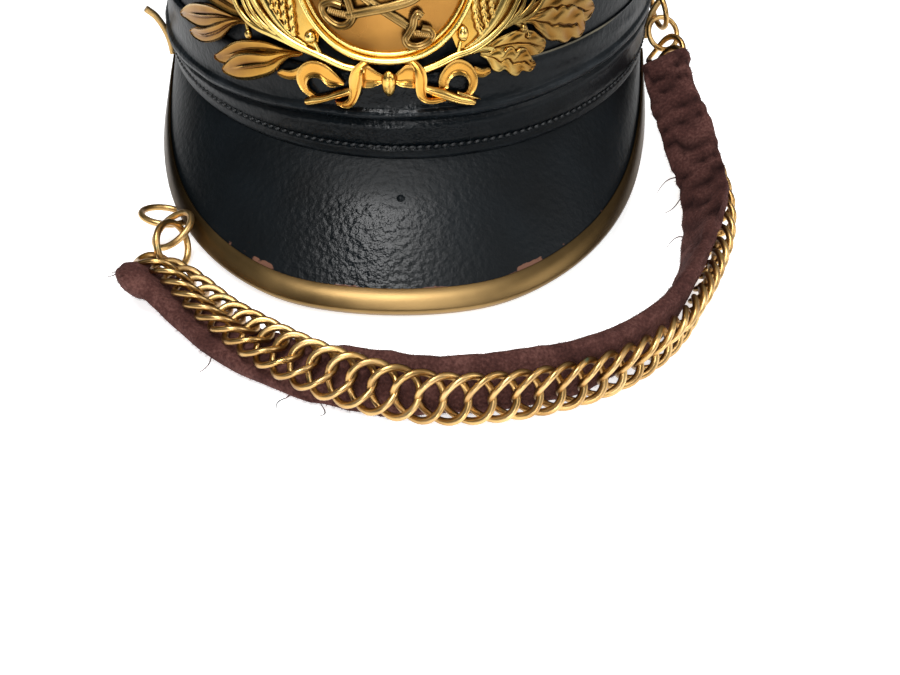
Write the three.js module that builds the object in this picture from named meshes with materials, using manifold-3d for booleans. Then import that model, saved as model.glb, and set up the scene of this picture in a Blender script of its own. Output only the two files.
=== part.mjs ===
// Leather dress helmet: domed skull, base band, two peaks, gilt wreath plate, velvet-backed chin chain.
// Millimetres, +Z up, front towards -Y. It stands on its peaks, with the chin strap laid on the table.
import * as THREE from 'three';
import { mergeVertices } from 'three/addons/utils/BufferGeometryUtils.js';
import Module from 'manifold-3d';

const wasm = await Module();
wasm.setup();

// Driving dimensions

const GAP = 0.3; // clearance between neighbouring pieces
const degrees = THREE.MathUtils.degToRad;

const SEAM = { height: 32, sideRise: 3 }; // lower edge of the leather body above the table
const SKULL = {
  halfWidth: 90,
  halfLength: 106,
  height: 130, // from the seam to the crown
  wall: 2.5,
  upCurve: 2.8, // superellipse powers of the dome
  inCurve: 2.1,
  around: 36,
  rows: 8,
};

// Section of the base band: stitched strip, groove, raised roll and plain upper strip.
const BAND_SECTION = [
  { up: 0, out: 0.3 },
  { up: 0, out: 1.9 },
  { up: 11.6, out: 1.9 },
  { up: 12.6, out: 1.2 },
  { up: 14.0, out: 2.9 },
  { up: 15.8, out: 2.9 },
  { up: 17.0, out: 1.5 },
  { up: 28, out: 1.2 },
  { up: 28, out: 0.3 },
];

const FRONT_PEAK = {
  facing: 0,
  reach: 41,
  edgeHeight: 2.4,
  spread: 2.2, // how fast the reach fades towards the sides
  dip: 0.87, // how fast the drop fades towards the sides
  halfAngle: degrees(80),
  flat: degrees(12),
  thick: 2.4,
  bow: 0.9,
  flatEdge: false,
  columns: 24,
  rows: 3,
};
const REAR_PEAK = {
  facing: Math.PI,
  reach: 20,
  edgeHeight: 0,
  spread: 1.6,
  dip: 1.2,
  halfAngle: degrees(80),
  flat: degrees(30),
  thick: 2.4,
  bow: 0.9,
  flatEdge: true,
  columns: 20,
  rows: 3,
};
const TRIM_SIDE_SHARE = 0.5; // lip height at the sides, as a share of that at the front
// Section of the brass channel on the peak's edge: down along the slope, out along its normal.
const TRIM_SECTION = [
  { down: -6.2, out: 1.6 },
  { down: -6.2, out: 2.4 },
  { down: 1.1, out: 2.4 },
  { down: 1.1, out: -2.4 },
  { down: -4.2, out: -2.4 },
  { down: -4.2, out: -1.6 },
  { down: 0.3, out: -1.6 },
  { down: 0.3, out: 1.6 },
];

// The front plate is laid out flat: u across, v up from the seam, w outwards from its back.
const PLATE = { standoff: 2.1, uPerRadian: 95, sheet: 1.1 };
const OVAL = { u: -2, v: 65.8, halfWidth: 28, halfHeight: 32.5, power: 2.2, steps: 28 }; // a full oval
const OVAL_RIM = { half: 1.6, height: 2.4, sides: 6 };
const BOSS = { inset: 2.0, bulge: 4.6, edge: 2.2, rows: 3 };
const LEAF = { height: 2.3, tipHalf: 0.2, tipShare: 0.45, sides: 5, laurelSteps: 4, oakSteps: 7 };
// The part of a swelling curve that a leaf's outline follows, and how far it is drawn to the tip.
const LAUREL_SWELL = { from: 0.05, span: 0.93, drawn: 1.15 };
const OAK_SWELL = { from: 0.04, span: 0.9, drawn: 1.15 };

const LAUREL_LEAVES = [
  { baseU: -27, baseV: 36, tipU: -64, tipV: 22.5, width: 9, level: 0 },
  { baseU: -28, baseV: 35.5, tipU: -59.5, tipV: 20, width: 9, level: 0.9 },
  { baseU: -39, baseV: 45.2, tipU: -84, tipV: 32, width: 10, level: 0 },
  { baseU: -38.5, baseV: 44, tipU: -75, tipV: 27, width: 9, level: 0.9 },
  { baseU: -47, baseV: 57, tipU: -81, tipV: 57, width: 10, level: 0 },
  { baseU: -43, baseV: 54.5, tipU: -78, tipV: 46, width: 9, level: 0.9 },
  { baseU: -48, baseV: 71, tipU: -75, tipV: 80, width: 9.5, level: 0 },
  { baseU: -45.5, baseV: 66.5, tipU: -77, tipV: 69, width: 9, level: 0.9 },
  { baseU: -44, baseV: 83, tipU: -63, tipV: 97, width: 9, level: 0.3 },
  { baseU: -36, baseV: 94, tipU: -45, tipV: 110, width: 8.5, level: 0.3 },
  { baseU: -32, baseV: 97, tipU: -22, tipV: 110, width: 8, level: 0.3 },
];
const OAK_LEAVES = [
  { baseU: 27, baseV: 36.5, tipU: 48.5, tipV: 29.5, width: 12.5, level: 0.3 },
  { baseU: 38, baseV: 44, tipU: 69.5, tipV: 38.5, width: 14, level: 0.3 },
  { baseU: 45, baseV: 56, tipU: 72, tipV: 58, width: 14, level: 0.3 },
  { baseU: 46, baseV: 70, tipU: 70, tipV: 79, width: 13.5, level: 0.3 },
  { baseU: 42, baseV: 84, tipU: 60, tipV: 97, width: 13, level: 0.3 },
  { baseU: 34, baseV: 95, tipU: 42, tipV: 111, width: 12, level: 0.3 },
  { baseU: 31, baseV: 97, tipU: 19, tipV: 110, width: 10, level: 0.3 },
];
const OAK_LOBES = 3;
const OAK_LOBE_DEPTH = 0.22;
// Long narrow leaves that lie up the inner side of both branches.
const INNER_LEAVES = [
  { baseU: 33, baseV: 39, tipU: 29, tipV: 55, width: 5, level: 0.8 },
  { baseU: 42, baseV: 48, tipU: 35, tipV: 64, width: 5, level: 0.8 },
  { baseU: 46, baseV: 62, tipU: 36, tipV: 77, width: 5, level: 0.8 },
  { baseU: 45, baseV: 78, tipU: 33, tipV: 90, width: 5, level: 0.8 },
];
const BRANCH = { half: 1.1, high: 1.1, level: 1.2, steps: 12, sides: 4 };
const BRANCH_POINTS = [
  { u: 8, v: 30.6 },
  { u: 20, v: 33.2 },
  { u: 30, v: 37.6 },
  { u: 40, v: 46 },
  { u: 46, v: 56 },
  { u: 48, v: 68 },
  { u: 45.5, v: 80 },
  { u: 38, v: 92 },
  { u: 30, v: 99 },
];
// Plain sheet between oval and branch: its swing round the oval and its shares along the branch.
const FIELD = { from: degrees(218), to: degrees(128), branchFrom: 0.32, branchTo: 0.97, steps: 9 };
const BERRY = { sides: 8, rows: 5, lift: 0.8 };
const BERRIES = [
  { u: -24.8, v: 38.0, radius: 1.9 },
  { u: -41, v: 43.4, radius: 1.6 },
  { u: 22, v: 36.2, radius: 1.9 },
  { u: 38.5, v: 41.5, radius: 1.5 },
];
const KNOT = { u: -0.7, v: 27, halfWidth: 2.2, halfHeight: 4.2, high: 1.8, sides: 8, rows: 6 };
const BOW = { inner: 1.2, outer: 9.2, innerHalf: 2.4, outerHalf: 4.2, v: 28.4, height: 2.2 };
const RIBBON = { half: 1.8, high: 1.3, level: 1.8, steps: 5, sides: 5 };
const RIBBON_POINTS = [
  { u: 8.0, v: 32.6 },
  { u: 10.2, v: 27 },
  { u: 10.6, v: 22.6 },
  { u: 13.2, v: 19.6 },
];
const STEM_END = { half: 1.65, high: 1.3, level: 1.65, steps: 3, sides: 6 };
const STEM_END_POINTS = [
  { u: 9.5, v: 25.4 },
  { u: 26.5, v: 19.2 },
];
const CURL = { u: 21.6, v: 25.6, radius: 4.6, half: 1.8, high: 0.8, level: 0.9, steps: 12, sides: 5 };
const CURL_TAIL = { fromU: 25.5, toU: 35, toV: 26.5, half: 1.6, high: 0.8, blunt: 0.05, steps: 3, sides: 4 };

const SABRE = { lift: 0.5, bladeHalf: 1.2, bladeHigh: 0.8, point: 0.05, steps: 6, sides: 4 };
const GRIP = { half: 1.3, high: 1.1 };
const GUARD = { half: 0.7, high: 0.8, over: 0.2 };
// One sabre from pommel to point, as places on the oval, and the two ends of its knuckle guard.
const SABRES = [
  {
    over: 0,
    hilt: [{ u: -18.5, v: 46.2 }, { u: -14, v: 43.6 }, { u: -9.4, v: 43.4 }],
    blade: [{ u: -9.8, v: 43.4 }, { u: 0, v: 47 }, { u: 9.5, v: 54 }, { u: 16, v: 64 }, { u: 18.5, v: 75 }],
    guard: [{ u: -18.8, v: 45.4 }, { u: -15.5, v: 40.6 }, { u: -9.6, v: 42 }],
  },
  {
    over: 0.9,
    hilt: [{ u: 11.4, v: 42.8 }, { u: 8.2, v: 41.2 }, { u: 4.6, v: 42.8 }],
    blade: [{ u: 5, v: 42.6 }, { u: -2, v: 47 }, { u: -11.5, v: 54 }, { u: -18, v: 64 }, { u: -20.5, v: 75 }],
    guard: [{ u: 11.6, v: 42 }, { u: 9, v: 38.2 }, { u: 4.2, v: 41.2 }],
  },
];

const HOOK = { half: 2, tipHalf: 1.2, thick: 1.4, steps: 7 };
const HOOK_PATH = [
  { out: 2.9, up: 2.5 },
  { out: 3.1, up: 7 },
  { out: 4.2, up: 11.8 },
  { out: 6.5, up: 16.5 },
  { out: 9.4, up: 19.3 },
];
const HOOKS = [
  { name: 'left_hook', at: degrees(-71), raised: -3.5 },
  { name: 'right_hook', at: degrees(81), raised: -2.2 },
];

const STRAP = { half: 8.6, thick: 6.2, endShare: 0.7, steps: 40, sides: 8, endInset: 14 };
const CHAIN = {
  radius: 6.7, // of a link's wire, at its centre line
  wire: 1.05,
  sides: 10,
  wireSides: 5,
  rise: 2.8, // centre line of the chain over the strap's face
  twist: 1.45, // how far each link is twisted to pass through its neighbours
  firstLink: 6,
  lastLink: 3, // from the strap's upper end
  bodyGap: 5.6, // from the middle of an end link to the run of links between them
  bodyHalf: 7.7,
  bodyThick: 4.9,
  bodySides: 8,
  bodySteps: 38,
};
// The strap's line where chain and velvet meet: on the table, then up to the hook. Turn is its roll,
// and shift is how far the velvet lies off the chain's line.
const STRAP_LINE = [
  { x: -77.7, y: -135.5, rise: 0, turn: -45, shift: -2.5 },
  { x: -67.2, y: -141.3, rise: 0, turn: -35, shift: -2.3 },
  { x: -46.5, y: -160.2, rise: 0, turn: -14.5, shift: -1.3 },
  { x: -14, y: -181.4, rise: 0, turn: 32.5, shift: 0.6 },
  { x: 18.2, y: -189.3, rise: 0, turn: 74, shift: 0.9 },
  { x: 57, y: -179.7, rise: 0, turn: 85.5, shift: 0.7 },
  { x: 81.3, y: -160.2, rise: 0.3, turn: 98, shift: 0.2 },
  { x: 98.7, y: -127.3, rise: 0.9, turn: 108.5, shift: -0.2 },
  { x: 103.7, y: -103.7, rise: 6.3, turn: 133.5, shift: 0.8 },
  { x: 101.5, y: -81.4, rise: 13.5, turn: 144, shift: 0.4 },
  { x: 96.8, y: -57.6, rise: 21.8, turn: 147.5, shift: 1 },
  { x: 96.2, y: -28.5, rise: 30.7, turn: 148.5, shift: 1 },
];
const RING_SIDES = 12;
const RING_WIRE_SIDES = 6;
const RINGS = [
  { name: 'left_ring_1', at: [-78.7, -106.5, 5.9], facing: [0.2, 0.24, 0.95], radius: 7.4, wire: 1.1 },
  { name: 'left_ring_2', at: [-73, -116.9, 7.4], facing: [-0.48, -0.15, 0.87], radius: 7.4, wire: 1.1 },
  { name: 'left_ring_3', at: [-70.7, -126.3, 8], facing: [0.91, -0.23, 0.33], radius: 7.4, wire: 1.1 },
  { name: 'right_ring_1', at: [97.4, -22.4, 38.8], facing: [0.33, -0.68, 0.66], radius: 6.2, wire: 0.95 },
  { name: 'right_ring_2', at: [95.4, -18, 46], facing: [0.94, 0.25, 0.24], radius: 6.6, wire: 1 },
];

const leather = { color: '#16191d', roughness: 0.45, metalness: 0 };
const gilt = { color: '#d9a03a', roughness: 0.3, metalness: 1 };
const bronze = { color: '#b5803f', roughness: 0.4, metalness: 1 };
const oldBrass = { color: '#8a6d3b', roughness: 0.4, metalness: 1 };
const greyBrass = { color: '#a59062', roughness: 0.45, metalness: 1 };
const chainBrass = { color: '#b8893e', roughness: 0.28, metalness: 1 };
const velvet = { color: '#4a2828', roughness: 0.95, metalness: 0 };

// Closed meshes: a three.js geometry whose points are put where a function says

function closed(geometry) {
  geometry.deleteAttribute('normal');
  geometry.deleteAttribute('uv');
  const merged = mergeVertices(geometry, 1e-4);
  const corners = Array.from(merged.index.array);
  const kept = [];
  for (let i = 0; i < corners.length; i += 3) {
    const [a, b, c] = corners.slice(i, i + 3);
    if (a !== b && b !== c && c !== a) kept.push(a, b, c);
  }
  const position = merged.getAttribute('position');
  const points = [0, 1, 2].map(() => new THREE.Vector3());
  let volume = 0;
  for (let i = 0; i < kept.length; i += 3) {
    points.forEach((point, k) => point.fromBufferAttribute(position, kept[i + k]));
    volume += points[0].dot(points[1].clone().cross(points[2]));
  }
  if (volume < 0) kept.reverse();
  merged.setIndex(kept);
  merged.computeVertexNormals();
  return merged;
}

function movePoints(geometry, place) {
  const position = geometry.getAttribute('position');
  for (let i = 0; i < position.count; i += 1) {
    const point = place(new THREE.Vector3().fromBufferAttribute(position, i), i);
    position.setXYZ(i, point.x, point.y, point.z);
  }
  return geometry;
}

// A block of columns by rows, each point placed from its along, across and layer shares of 0 to 1.
function shapedBox(columns, rows, place) {
  const box = new THREE.BoxGeometry(1, 1, 1, columns, rows, 1);
  return closed(movePoints(box, (p) => place(p.x + 0.5, p.y + 0.5, p.z + 0.5)));
}

// A bar with closed ends, each point placed from its share along and its place in a unit circle.
function shapedBar(sides, steps, place) {
  const bar = new THREE.CylinderGeometry(1, 1, 1, sides, steps);
  return closed(movePoints(bar, (p) => place(p.y + 0.5, p.x, p.z)));
}

// A closed ring, each point placed from its share around and the number of its corner in the section.
function shapedRing(sides, steps, place) {
  const ring = new THREE.TorusGeometry(2, 1, sides, steps);
  const uv = ring.getAttribute('uv');
  const corner = (i) => Math.round(uv.getY(i) * sides) % sides;
  const around = (i) => (Math.round(uv.getX(i) * steps) % steps) / steps;
  return closed(movePoints(ring, (p, i) => place(around(i), corner(i))));
}

function toSolid(geometry) {
  const vertProperties = new Float32Array(geometry.getAttribute('position').array);
  const triVerts = new Uint32Array(geometry.index.array);
  return new wasm.Manifold(new wasm.Mesh({ numProp: 3, vertProperties, triVerts }));
}

function fromSolid(solid) {
  const mesh = solid.getMesh();
  const geometry = new THREE.BufferGeometry();
  geometry.setAttribute('position', new THREE.BufferAttribute(new Float32Array(mesh.vertProperties), 3));
  geometry.setIndex(Array.from(mesh.triVerts));
  geometry.computeVertexNormals();
  return geometry;
}

function fused(geometries) {
  return geometries.map(toSolid).reduce((whole, next) => whole.add(next));
}

function piece(name, geometry, finish) {
  const mesh = new THREE.Mesh(geometry, new THREE.MeshStandardMaterial(finish));
  mesh.name = name;
  return mesh;
}

// The leather body

function seamHeight(turn) {
  return SEAM.height + SEAM.sideRise * Math.sin(turn) ** 2;
}

// Share of the base plan that the dome still has at a height above the seam.
function domeShare(height) {
  const up = THREE.MathUtils.clamp(height / SKULL.height, 0, 1);
  return (1 - up ** SKULL.upCurve) ** (1 / SKULL.inCurve);
}

function planPoint(turn) {
  return new THREE.Vector3(SKULL.halfWidth * Math.sin(turn), -SKULL.halfLength * Math.cos(turn), 0);
}

function planNormal(turn) {
  const across = Math.sin(turn) / SKULL.halfWidth;
  const ahead = -Math.cos(turn) / SKULL.halfLength;
  return new THREE.Vector3(across, ahead, 0).normalize();
}

// A point on the skull at a plan angle and a height above the seam, moved out along its normal.
function skullPoint(turn, height, out) {
  const share = domeShare(height);
  const lean = domeShare(height - 0.5) - domeShare(height + 0.5);
  const normal = planNormal(turn);
  normal.z = lean * planPoint(turn).dot(normal);
  const point = planPoint(turn).multiplyScalar(share).setZ(SEAM.height + height);
  return point.addScaledVector(normal.normalize(), out);
}

function skull() {
  const shell = (wall) => {
    const points = [];
    for (let row = 0; row <= SKULL.rows; row += 1) {
      const turn = (Math.PI / 2) * (row / SKULL.rows);
      const radius = row < SKULL.rows ? Math.cos(turn) ** (2 / SKULL.inCurve) : 0;
      const height = Math.sin(turn) ** (2 / SKULL.upCurve);
      const share = 1 - wall / SKULL.halfLength;
      points.push(new THREE.Vector2(radius * share, height * (SKULL.height - wall)));
    }
    return points;
  };
  const profile = [...shell(SKULL.wall).reverse(), ...shell(0)];
  const dome = new THREE.LatheGeometry(profile, SKULL.around);
  const shaped = movePoints(dome, (p) => {
    const turn = Math.atan2(p.x, -p.z);
    const rim = p.y === 0 ? seamHeight(turn) : SEAM.height + p.y;
    return new THREE.Vector3(p.x * SKULL.halfWidth, p.z * SKULL.halfLength, rim);
  });
  return piece('skull', closed(shaped), leather);
}

function baseBand() {
  const ring = shapedRing(BAND_SECTION.length, SKULL.around, (around, corner) => {
    const turn = around * 2 * Math.PI;
    const { up, out } = BAND_SECTION[corner];
    return skullPoint(turn, seamHeight(turn) - SEAM.height + up, out);
  });
  return piece('base_band', ring, leather);
}

// The peaks and the brass edge

// Reach, drop and outward directions of a peak at an angle from its middle.
function peakSlope(peak, angle) {
  const turn = peak.facing + angle;
  const full = Math.min(1, Math.cos(angle) / Math.cos(peak.flat));
  const reach = peak.reach * full ** peak.spread;
  const drop = (seamHeight(turn) - GAP - peak.edgeHeight) * full ** peak.dip;
  const length = Math.hypot(reach, drop);
  const level = planNormal(turn);
  const normal = level.clone().multiplyScalar(drop / length).setZ(reach / length);
  return { turn, reach, drop, level, normal };
}

// A point of a peak: share runs from its root to its edge, side from inner face to outer face.
function peakPoint(peak, angle, share, side) {
  const { turn, reach, drop, level, normal } = peakSlope(peak, angle);
  const point = planPoint(turn).setZ(seamHeight(turn) - GAP - drop * share);
  point.addScaledVector(level, reach * share ** peak.bow);
  const square = share === 0 || (share === 1 && peak.flatEdge);
  return point.addScaledVector(square ? level : normal, side * peak.thick);
}

function peak(name, sizes) {
  const shell = shapedBox(sizes.columns, sizes.rows, (along, across, layer) => {
    const angle = (along * 2 - 1) * sizes.halfAngle;
    return peakPoint(sizes, angle, across, layer - 0.5);
  });
  return piece(name, shell, leather);
}

function peakTrim() {
  const outline = (angle, corner) => {
    const fade = TRIM_SIDE_SHARE + (1 - TRIM_SIDE_SHARE) * Math.cos(angle);
    const row = TRIM_SECTION[corner];
    const point = peakPoint(FRONT_PEAK, angle, 1, 0);
    const down = point.clone().sub(peakPoint(FRONT_PEAK, angle, 1 - 1 / FRONT_PEAK.rows, 0)).normalize();
    const level = planNormal(FRONT_PEAK.facing + angle);
    const normal = level.clone().multiplyScalar(-down.z).setZ(down.dot(level));
    point.addScaledVector(down, row.down < 0 ? row.down * fade : row.down);
    point.addScaledVector(normal, row.out);
    return point.setZ(Math.max(0, point.z));
  };
  const section = new THREE.Shape(TRIM_SECTION.map((row) => new THREE.Vector2(row.down, row.out)));
  const sweep = { depth: 1, steps: FRONT_PEAK.columns, bevelEnabled: false };
  const channel = new THREE.ExtrudeGeometry(section, sweep);
  const nearest = (p) => {
    const far = TRIM_SECTION.map((row) => Math.hypot(row.down - p.x, row.out - p.y));
    return far.indexOf(Math.min(...far));
  };
  const shaped = movePoints(channel, (p) => outline((p.z * 2 - 1) * FRONT_PEAK.halfAngle, nearest(p)));
  return piece('peak_trim', closed(shaped), oldBrass);
}

// The front plate

// Height above the seam of a point that lies this far up the front of the dome.
function heightUpFront(distance) {
  const step = 0.5;
  let height = 0;
  let travelled = 0;
  while (travelled < distance && height < SKULL.height - step) {
    const inward = SKULL.halfLength * (domeShare(height) - domeShare(height + step));
    const stride = Math.hypot(step, inward);
    const share = Math.min(1, (distance - travelled) / stride);
    height += step * share;
    travelled += stride * share;
  }
  return height;
}

function onHelmet(geometry, standoff) {
  return movePoints(geometry, (p) => {
    const turn = p.x / PLATE.uPerRadian;
    return skullPoint(turn, heightUpFront(p.y), standoff + p.z);
  });
}

function flatCurve(points, mirror = 1) {
  const places = points.map((row) => new THREE.Vector3(mirror * row.u, row.v, 0));
  return new THREE.CatmullRomCurve3(places, false, 'centripetal');
}

// A bar that follows a curve on the plate, half as wide as given, its middle at a level.
function plateBar(curve, { half, high, level, steps, sides }) {
  return shapedBar(sides, steps, (along, across, out) => {
    const heading = curve.getTangent(along);
    const side = new THREE.Vector3(heading.y, -heading.x, 0);
    return curve.getPoint(along).addScaledVector(side, half * across).setZ(level + high * out);
  });
}

// A leaf with a raised midrib, lying flat on its back, its width given by an outline along its length.
function leaf(row, steps, outline) {
  const base = new THREE.Vector2(row.baseU, row.baseV);
  const axis = new THREE.Vector2(row.tipU, row.tipV).sub(base);
  const side = new THREE.Vector2(-axis.y, axis.x).normalize();
  return shapedBar(LEAF.sides, steps, (along, across, out) => {
    const half = Math.max(LEAF.tipHalf, (row.width / 2) * outline(along));
    const place = base.clone().addScaledVector(axis, along).addScaledVector(side, across * half);
    const height = LEAF.height * THREE.MathUtils.lerp(1, LEAF.tipShare, along);
    return new THREE.Vector3(place.x, place.y, row.level + (height / 2) * (out + 1));
  });
}

function swell({ from, span, drawn }, along) {
  return Math.sin(Math.PI * (from + span * along) ** drawn);
}

function laurelOutline(along) {
  return swell(LAUREL_SWELL, along);
}

function oakOutline(along) {
  const lobes = 1 + OAK_LOBE_DEPTH * Math.cos(2 * Math.PI * OAK_LOBES * along + Math.PI);
  return swell(OAK_SWELL, along) * lobes;
}

function ovalPoint(turn, share) {
  const full = (value) => Math.sign(value) * Math.abs(value) ** (2 / OVAL.power);
  const u = OVAL.u + OVAL.halfWidth * share * full(Math.cos(turn));
  return new THREE.Vector3(u, OVAL.v + OVAL.halfHeight * share * full(Math.sin(turn)), 0);
}

function ovalRim() {
  return shapedRing(OVAL_RIM.sides, OVAL.steps, (around, corner) => {
    const turn = around * 2 * Math.PI;
    const bend = (corner / OVAL_RIM.sides) * 2 * Math.PI;
    const wide = 1 + (OVAL_RIM.half * Math.cos(bend)) / OVAL.halfWidth;
    return ovalPoint(turn, wide).setZ((OVAL_RIM.height / 2) * (1 + Math.sin(bend)));
  });
}

function field(mirror) {
  const branch = flatCurve(BRANCH_POINTS, mirror);
  return shapedBox(FIELD.steps, 1, (along, across, layer) => {
    const swing = THREE.MathUtils.lerp(FIELD.from, FIELD.to, along);
    const inner = ovalPoint(mirror < 0 ? swing : Math.PI - swing, 1);
    const outer = branch.getPoint(THREE.MathUtils.lerp(FIELD.branchFrom, FIELD.branchTo, along));
    return inner.lerp(outer, across).setZ(layer * PLATE.sheet);
  });
}

function berry({ u, v, radius }) {
  const ball = new THREE.SphereGeometry(radius, BERRY.sides, BERRY.rows);
  return closed(ball.translate(u, v, radius * BERRY.lift));
}

function bow(mirror) {
  const wing = shapedBox(2, 1, (along, across, layer) => {
    const u = KNOT.u + mirror * THREE.MathUtils.lerp(BOW.inner, BOW.outer, along);
    const half = THREE.MathUtils.lerp(BOW.innerHalf, BOW.outerHalf, along);
    return new THREE.Vector3(u, BOW.v + (across * 2 - 1) * half, layer * BOW.height);
  });
  const fold = plateBar(flatCurve(RIBBON_POINTS, mirror), RIBBON);
  const stem = plateBar(flatCurve(STEM_END_POINTS, mirror), STEM_END);
  const curl = shapedRing(CURL.sides, CURL.steps, (around, corner) => {
    const turn = around * 2 * Math.PI;
    const bend = (corner / CURL.sides) * 2 * Math.PI;
    const radius = CURL.radius + CURL.half * Math.cos(bend);
    const u = mirror * CURL.u + radius * Math.cos(turn);
    return new THREE.Vector3(u, CURL.v + radius * Math.sin(turn), CURL.level + CURL.high * Math.sin(bend));
  });
  const tailLine = flatCurve([
    { u: CURL_TAIL.fromU, v: CURL.v },
    { u: CURL_TAIL.toU, v: CURL_TAIL.toV },
  ], mirror);
  const tail = shapedBar(CURL_TAIL.sides, CURL_TAIL.steps, (along, across, out) => {
    const left = 1 + CURL_TAIL.blunt - along;
    const away = new THREE.Vector3(0, CURL_TAIL.half * across, CURL_TAIL.high * out).multiplyScalar(left);
    return tailLine.getPoint(along).add(away.setZ(away.z + CURL.level));
  });
  return [wing, fold, stem, curl, tail];
}

function wreathPlate() {
  const shapes = [ovalRim()];
  for (const mirror of [-1, 1]) {
    const branch = flatCurve(BRANCH_POINTS, mirror);
    shapes.push(plateBar(branch, BRANCH), field(mirror), ...bow(mirror));
    for (const row of INNER_LEAVES) {
      const turned = { ...row, baseU: mirror * row.baseU, tipU: mirror * row.tipU };
      shapes.push(leaf(turned, LEAF.laurelSteps, laurelOutline));
    }
  }
  const knot = new THREE.SphereGeometry(1, KNOT.sides, KNOT.rows);
  knot.scale(KNOT.halfWidth, KNOT.halfHeight, KNOT.high).translate(KNOT.u, KNOT.v, KNOT.high);
  shapes.push(closed(knot));
  LAUREL_LEAVES.forEach((row) => shapes.push(leaf(row, LEAF.laurelSteps, laurelOutline)));
  OAK_LEAVES.forEach((row) => shapes.push(leaf(row, LEAF.oakSteps, oakOutline)));
  BERRIES.forEach((row) => shapes.push(berry(row)));
  const plate = fromSolid(fused(shapes));
  return piece('wreath_plate', onHelmet(plate, PLATE.standoff), gilt);
}

function bossShare() {
  return 1 - BOSS.inset / OVAL.halfWidth;
}

// How high the boss stands at a place on the oval.
function bossHeight(u, v) {
  const across = Math.abs(u - OVAL.u) / (OVAL.halfWidth * bossShare());
  const up = Math.abs(v - OVAL.v) / (OVAL.halfHeight * bossShare());
  return BOSS.edge + BOSS.bulge * Math.max(0, 1 - across ** OVAL.power - up ** OVAL.power);
}

function ovalBoss() {
  const profile = [new THREE.Vector2(0, 0), new THREE.Vector2(1, 0)];
  for (let row = 0; row <= BOSS.rows; row += 1) {
    profile.push(new THREE.Vector2(1 - row / BOSS.rows, 1));
  }
  const disc = movePoints(new THREE.LatheGeometry(profile, OVAL.steps), (p) => {
    const point = ovalPoint(Math.atan2(p.z, p.x), Math.hypot(p.x, p.z) * bossShare());
    return point.setZ(p.y === 0 ? 0 : bossHeight(point.x, point.y));
  });
  return piece('oval_boss', onHelmet(closed(disc), PLATE.standoff), bronze);
}

function sabreBar(points, half, high, over, taper) {
  const curve = flatCurve(points);
  return shapedBar(SABRE.sides, SABRE.steps, (along, across, out) => {
    const heading = curve.getTangent(along);
    const place = curve.getPoint(along);
    const wide = half * (taper ? 1 + SABRE.point - along ** 3 : 1) * across;
    place.add(new THREE.Vector3(heading.y * wide, -heading.x * wide, 0));
    return place.setZ(bossHeight(place.x, place.y) + SABRE.lift + over + high * (1 + out));
  });
}

function crossedSabres() {
  const bars = [];
  for (const { over, hilt, blade, guard } of SABRES) {
    bars.push(sabreBar(blade, SABRE.bladeHalf, SABRE.bladeHigh, over, true));
    bars.push(sabreBar(hilt, GRIP.half, GRIP.high, 0, false));
    bars.push(sabreBar(guard, GUARD.half, GUARD.high, GUARD.over, false));
  }
  return piece('crossed_sabres', onHelmet(fromSolid(fused(bars)), PLATE.standoff), greyBrass);
}

// Hooks, chin strap and rings

function hook({ name, at, raised }) {
  const points = HOOK_PATH.map((row) => new THREE.Vector3(row.out, row.up, 0));
  const path = new THREE.CatmullRomCurve3(points);
  const strip = shapedBox(HOOK.steps, 1, (along, across, layer) => {
    const place = path.getPoint(along);
    const heading = path.getTangent(along);
    const side = (layer - 0.5) * HOOK.thick;
    const up = raised + place.y - side * heading.x + seamHeight(at) - SEAM.height;
    const point = skullPoint(at, up, place.x + side * heading.y);
    const forward = new THREE.Vector3(0, 0, 1).cross(planNormal(at));
    const half = THREE.MathUtils.lerp(HOOK.half, HOOK.tipHalf, along);
    return point.addScaledVector(forward, (across * 2 - 1) * half);
  });
  return piece(name, strip, oldBrass);
}

// Height of the strap's line over what it lies on, so that velvet and links just clear it.
function strapLift(turn) {
  const reach = (half, thick) => Math.hypot(half * Math.sin(turn), thick * Math.cos(turn));
  const below = reach(STRAP.half, STRAP.thick / 2) + (STRAP.thick / 2) * Math.cos(turn);
  const wireOut = CHAIN.radius + CHAIN.wire;
  const beside = reach(wireOut, CHAIN.rise) - CHAIN.rise * Math.cos(turn);
  return Math.max(below, beside);
}

const strapLine = new THREE.CatmullRomCurve3(
  STRAP_LINE.map((row) => new THREE.Vector3(row.x, row.y, row.rise + strapLift(degrees(row.turn)))),
);

// Point and directions of the strap at a distance from its free end.
function strapFrame(distance) {
  const share = strapLine.getUtoTmapping(distance / strapLine.getLength());
  const place = share * (STRAP_LINE.length - 1);
  const row = Math.min(STRAP_LINE.length - 2, Math.floor(place));
  const [before, after] = [STRAP_LINE[row], STRAP_LINE[row + 1]];
  const between = (column) => THREE.MathUtils.lerp(before[column], after[column], place - row);
  const turn = degrees(between('turn'));
  const along = strapLine.getTangent(share);
  const away = new THREE.Vector3(along.y, -along.x, 0).normalize();
  const up = away.clone().cross(along);
  const face = up.multiplyScalar(Math.cos(turn)).addScaledVector(away, Math.sin(turn));
  const across = face.clone().cross(along);
  return { point: strapLine.getPoint(share), along, face, across, shift: between('shift') };
}

function strapBacking() {
  const length = strapLine.getLength() - STRAP.endInset;
  const pad = shapedBar(STRAP.sides, STRAP.steps, (share, wide, deep) => {
    const { point, across, face, shift } = strapFrame(share * length);
    const inFromEnd = Math.min(1, STRAP.steps * Math.min(share, 1 - share));
    const roundEnd = THREE.MathUtils.lerp(STRAP.endShare, 1, inFromEnd);
    point.addScaledVector(across, shift + wide * STRAP.half * roundEnd);
    point.addScaledVector(face, (deep * roundEnd - 1) * (STRAP.thick / 2));
    return point.setZ(Math.max(0, point.z));
  });
  return piece('strap_backing', pad, velvet);
}

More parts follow.
